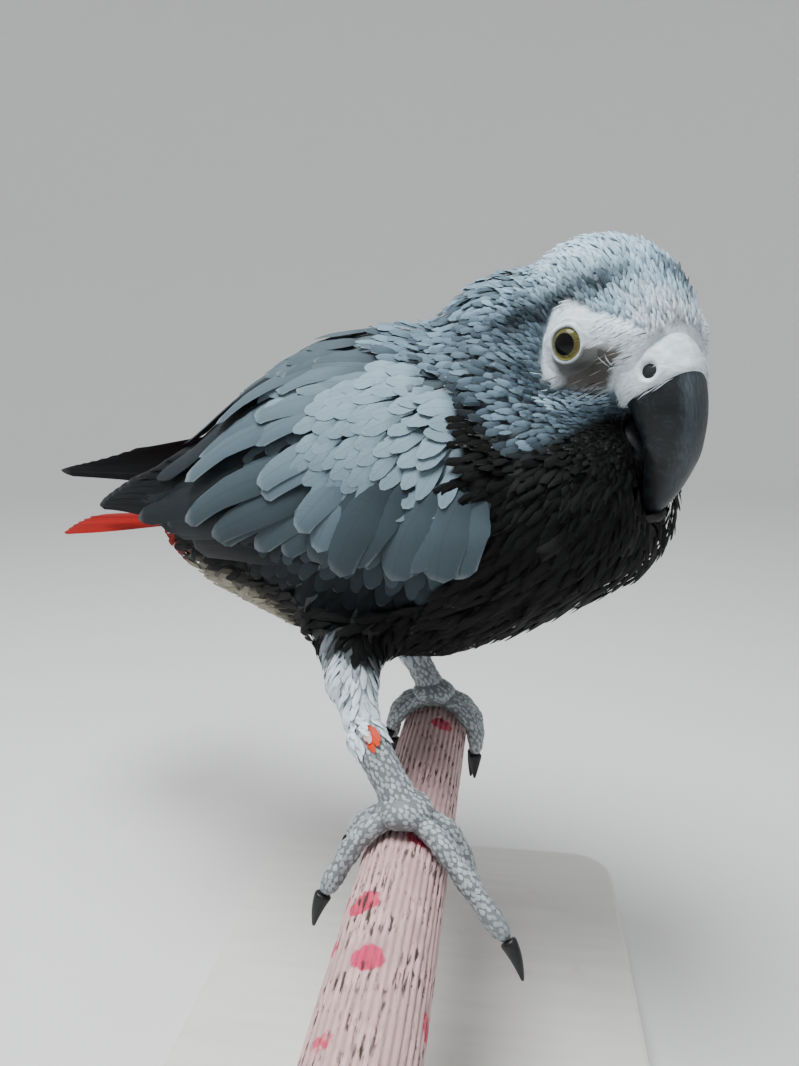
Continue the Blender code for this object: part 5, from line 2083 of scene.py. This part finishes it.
class PARROT_OT_perch(ParrotOperator):
    """A short length of ridged, painted and chewed round perch"""

    bl_idname = "parrot.perch"
    bl_label = "Perch"

    def execute(self, context):
        p = settings("perch")
        low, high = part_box("perch")
        count = p.ridges * len(RIDGE_SECTION)
        depth = p.groove_depth / MM
        near, far = low.y / MM, high.y / MM
        ends = (0, 0.25, 0.7, 1.3)
        steps = [near + e for e in ends] + list(np.linspace(near + 3, far - 3, 88)) + [far - e for e in ends[::-1]]
        rng = np.random.default_rng(90)
        wander = rng.uniform(0, 6.3, p.ridges)
        rings = []
        for y in steps:
            edge = min(y - near, far - y)
            trim = 1.2 * (1 - sqrt(max(0.0, 1 - (1 - min(edge / 1.2, 1)) ** 2)))
            ring = []
            for k, turn in enumerate(turns(count)):
                number, step = divmod(k, len(RIDGE_SECTION))
                top, start = RIDGE_SECTION[step], wander[number]
                wear = 0.5 + 0.5 * sin(y * 0.16 + start) * sin(y * 0.053 + 2 * start)
                bite = max(0.0, sin(y * 0.9 + 5 * start) * sin(y * 0.31 + start) - 0.45)
                reach = PERCH_RADIUS - trim - depth * (1 - top) - 0.16 * wear - 0.35 * bite * top
                ring.append(Vector((reach * sin(turn), y, PERCH_AXIS + reach * cos(turn))) * MM)
            rings.append(ring)
        mesh = lofted(rings, "perch_rod")
        places = vertices_of(mesh)
        dx, dz = places[:, 0], places[:, 2] - PERCH_AXIS * MM
        reach = np.hypot(dx, dz)
        turn = np.arctan2(dx, dz)
        phase = (turn / (2 * pi) * p.ridges) % 1.0
        top = smooth(0.02, 0.30, 0.5 - np.abs(phase - 0.5))
        wear = smooth(PERCH_RADIUS - 0.42, PERCH_RADIUS - 0.05, reach / MM)
        ends_mask = (np.minimum(places[:, 1] - low.y, high.y - places[:, 1]) < 0.5 * MM).astype(float)
        colours_on(mesh, "coat", columns(top * (0.35 + 0.65 * wear), ends_mask, wear))
        layer = mesh.uv_layers.new(name="round")
        wrap = columns(turn * PERCH_RADIUS * MM, places[:, 1])[corners_of(mesh)]
        for face in mesh.polygons:
            u = wrap[face.loop_start : face.loop_start + 4, 0]
            if face.loop_total == 4 and u.max() - u.min() > PERCH_RADIUS * MM * pi:
                u[u < 0] += 2 * pi * PERCH_RADIUS * MM
        write(layer.data, "uv", wrap)
        perch = show("perch_rod", mesh)
        unwrapped(perch, 0.004)
        finished(perch, perch_material(), "painted_wood", "perch")
        return {"FINISHED"}


class PARROT_OT_stand(ParrotOperator):
    """Paint for the stand's base and brushed steel for its rods"""

    bl_idname = "parrot.stand"
    bl_label = "Stand"

    def execute(self, context):
        paint, steel = painted_base_material(), rod_material()
        for name, look in (("stand_base", paint), ("stand_rod_near", steel), ("stand_rod_far", steel)):
            node = NODES[name]
            for slot in node.material_slots:
                slot.material = look
        return {"FINISHED"}


class PARROT_OT_stage(ParrotOperator):
    """A round pale floor that curves up behind, soft lights and the camera"""

    bl_idname = "parrot.stage"
    bl_label = "Stage"

    def execute(self, context):
        stage = settings("stage")
        profile = [(0.0, 0.0), (0.6, 0.0), (1.3, 0.0)]
        for k in range(1, 9):
            turn = pi / 2 * k / 8
            profile.append((1.3 + 0.5 * sin(turn), 0.5 - 0.5 * cos(turn)))
        profile.append((1.8, 2.2))
        bm = spun(profile, 1e-5)
        bmesh.ops.recalc_face_normals(bm, faces=bm.faces)
        floor = show("floor", smooth_faces(mesh_from(bm, "floor")))
        floor.data.materials.append(floor_material())
        world = bpy.context.scene.world or bpy.data.worlds.new("surround")
        bpy.context.scene.world = world
        world.use_nodes = True
        back = world.node_tree.nodes["Background"]
        back.inputs["Color"].default_value = (0.86, 0.89, 0.93, 1)
        back.inputs["Strength"].default_value = stage.surround
        self.lamp("overhead", (-0.12, -0.13, 0.68), (-0.01, -0.01, 0.18), 0.34, stage.top_light, (0.97, 0.99, 1.0))
        self.lamp("ceiling", (-0.3, 0.1, 2.1), (-0.05, 0.05, 0), 1.6, stage.ceiling_light, (0.97, 0.99, 1.0))
        self.lamp("front_fill", (0.55, -0.75, 0.55), (0.03, -0.03, 0.18), 0.5, stage.fill_light, (0.93, 0.97, 1.0))
        camera = given(
            bpy.data.cameras.new("camera"),
            sensor_fit="VERTICAL", sensor_height=36, sensor_width=36, lens=27.0, clip_start=0.01,
        )
        bpy.context.scene.camera = given(
            show("camera", camera), location=CAMERA_PLACE, rotation_euler=[radians(angle) for angle in CAMERA_TURN],
        )
        return {"FINISHED"}

    def lamp(self, name, place, target, size, power, colour):
        light = given(bpy.data.lights.new(name, "AREA"), shape="DISK", size=size, energy=power, color=colour)
        way = (Vector(target) - Vector(place)).to_track_quat("-Z", "Y").to_euler()
        given(show(name, light), location=place, visible_camera=False, rotation_euler=way)


class PARROT_PT_panel(Panel):
    """The figure's pieces, in the order they are made"""

    bl_label = "Grey Parrot"
    bl_idname = "PARROT_PT_panel"
    bl_space_type = "VIEW_3D"
    bl_region_type = "UI"
    bl_category = "Parrot"

    def draw(self, context):
        for step in STEPS:
            self.layout.operator("parrot." + step)
        for name in GROUPS:
            box = self.layout.box()
            group = settings(name)
            for key in group.bl_rna.properties.keys():
                if key not in ("rna_type", "name"):
                    box.prop(group, key)


GROUPS = {
    "plumage": ParrotPlumage, "head": ParrotHead, "legs": ParrotLegs, "perch": ParrotPerch, "stage": ParrotStage,
}
OPERATORS = (
    PARROT_OT_skin,
    PARROT_OT_eyes,
    PARROT_OT_bill,
    PARROT_OT_feet,
    PARROT_OT_head_feathers,
    PARROT_OT_body_feathers,
    PARROT_OT_wing_feathers,
    PARROT_OT_tail,
    PARROT_OT_perch,
    PARROT_OT_stand,
    PARROT_OT_stage,
)
CLASSES = (*GROUPS.values(), *OPERATORS, PARROT_PT_panel)
STEPS = [operator.bl_idname.split(".")[1] for operator in OPERATORS]


def register():
    for made in CLASSES:
        bpy.utils.register_class(made)
    for name, group in GROUPS.items():
        setattr(bpy.types.Scene, "parrot_" + name, PointerProperty(type=group))


def unregister():
    for name in GROUPS:
        delattr(bpy.types.Scene, "parrot_" + name)
    for made in reversed(CLASSES):
        bpy.utils.unregister_class(made)


def main():
    register()
    for step in STEPS:
        getattr(bpy.ops.parrot, step)()


if __name__ == "__main__":
    main()
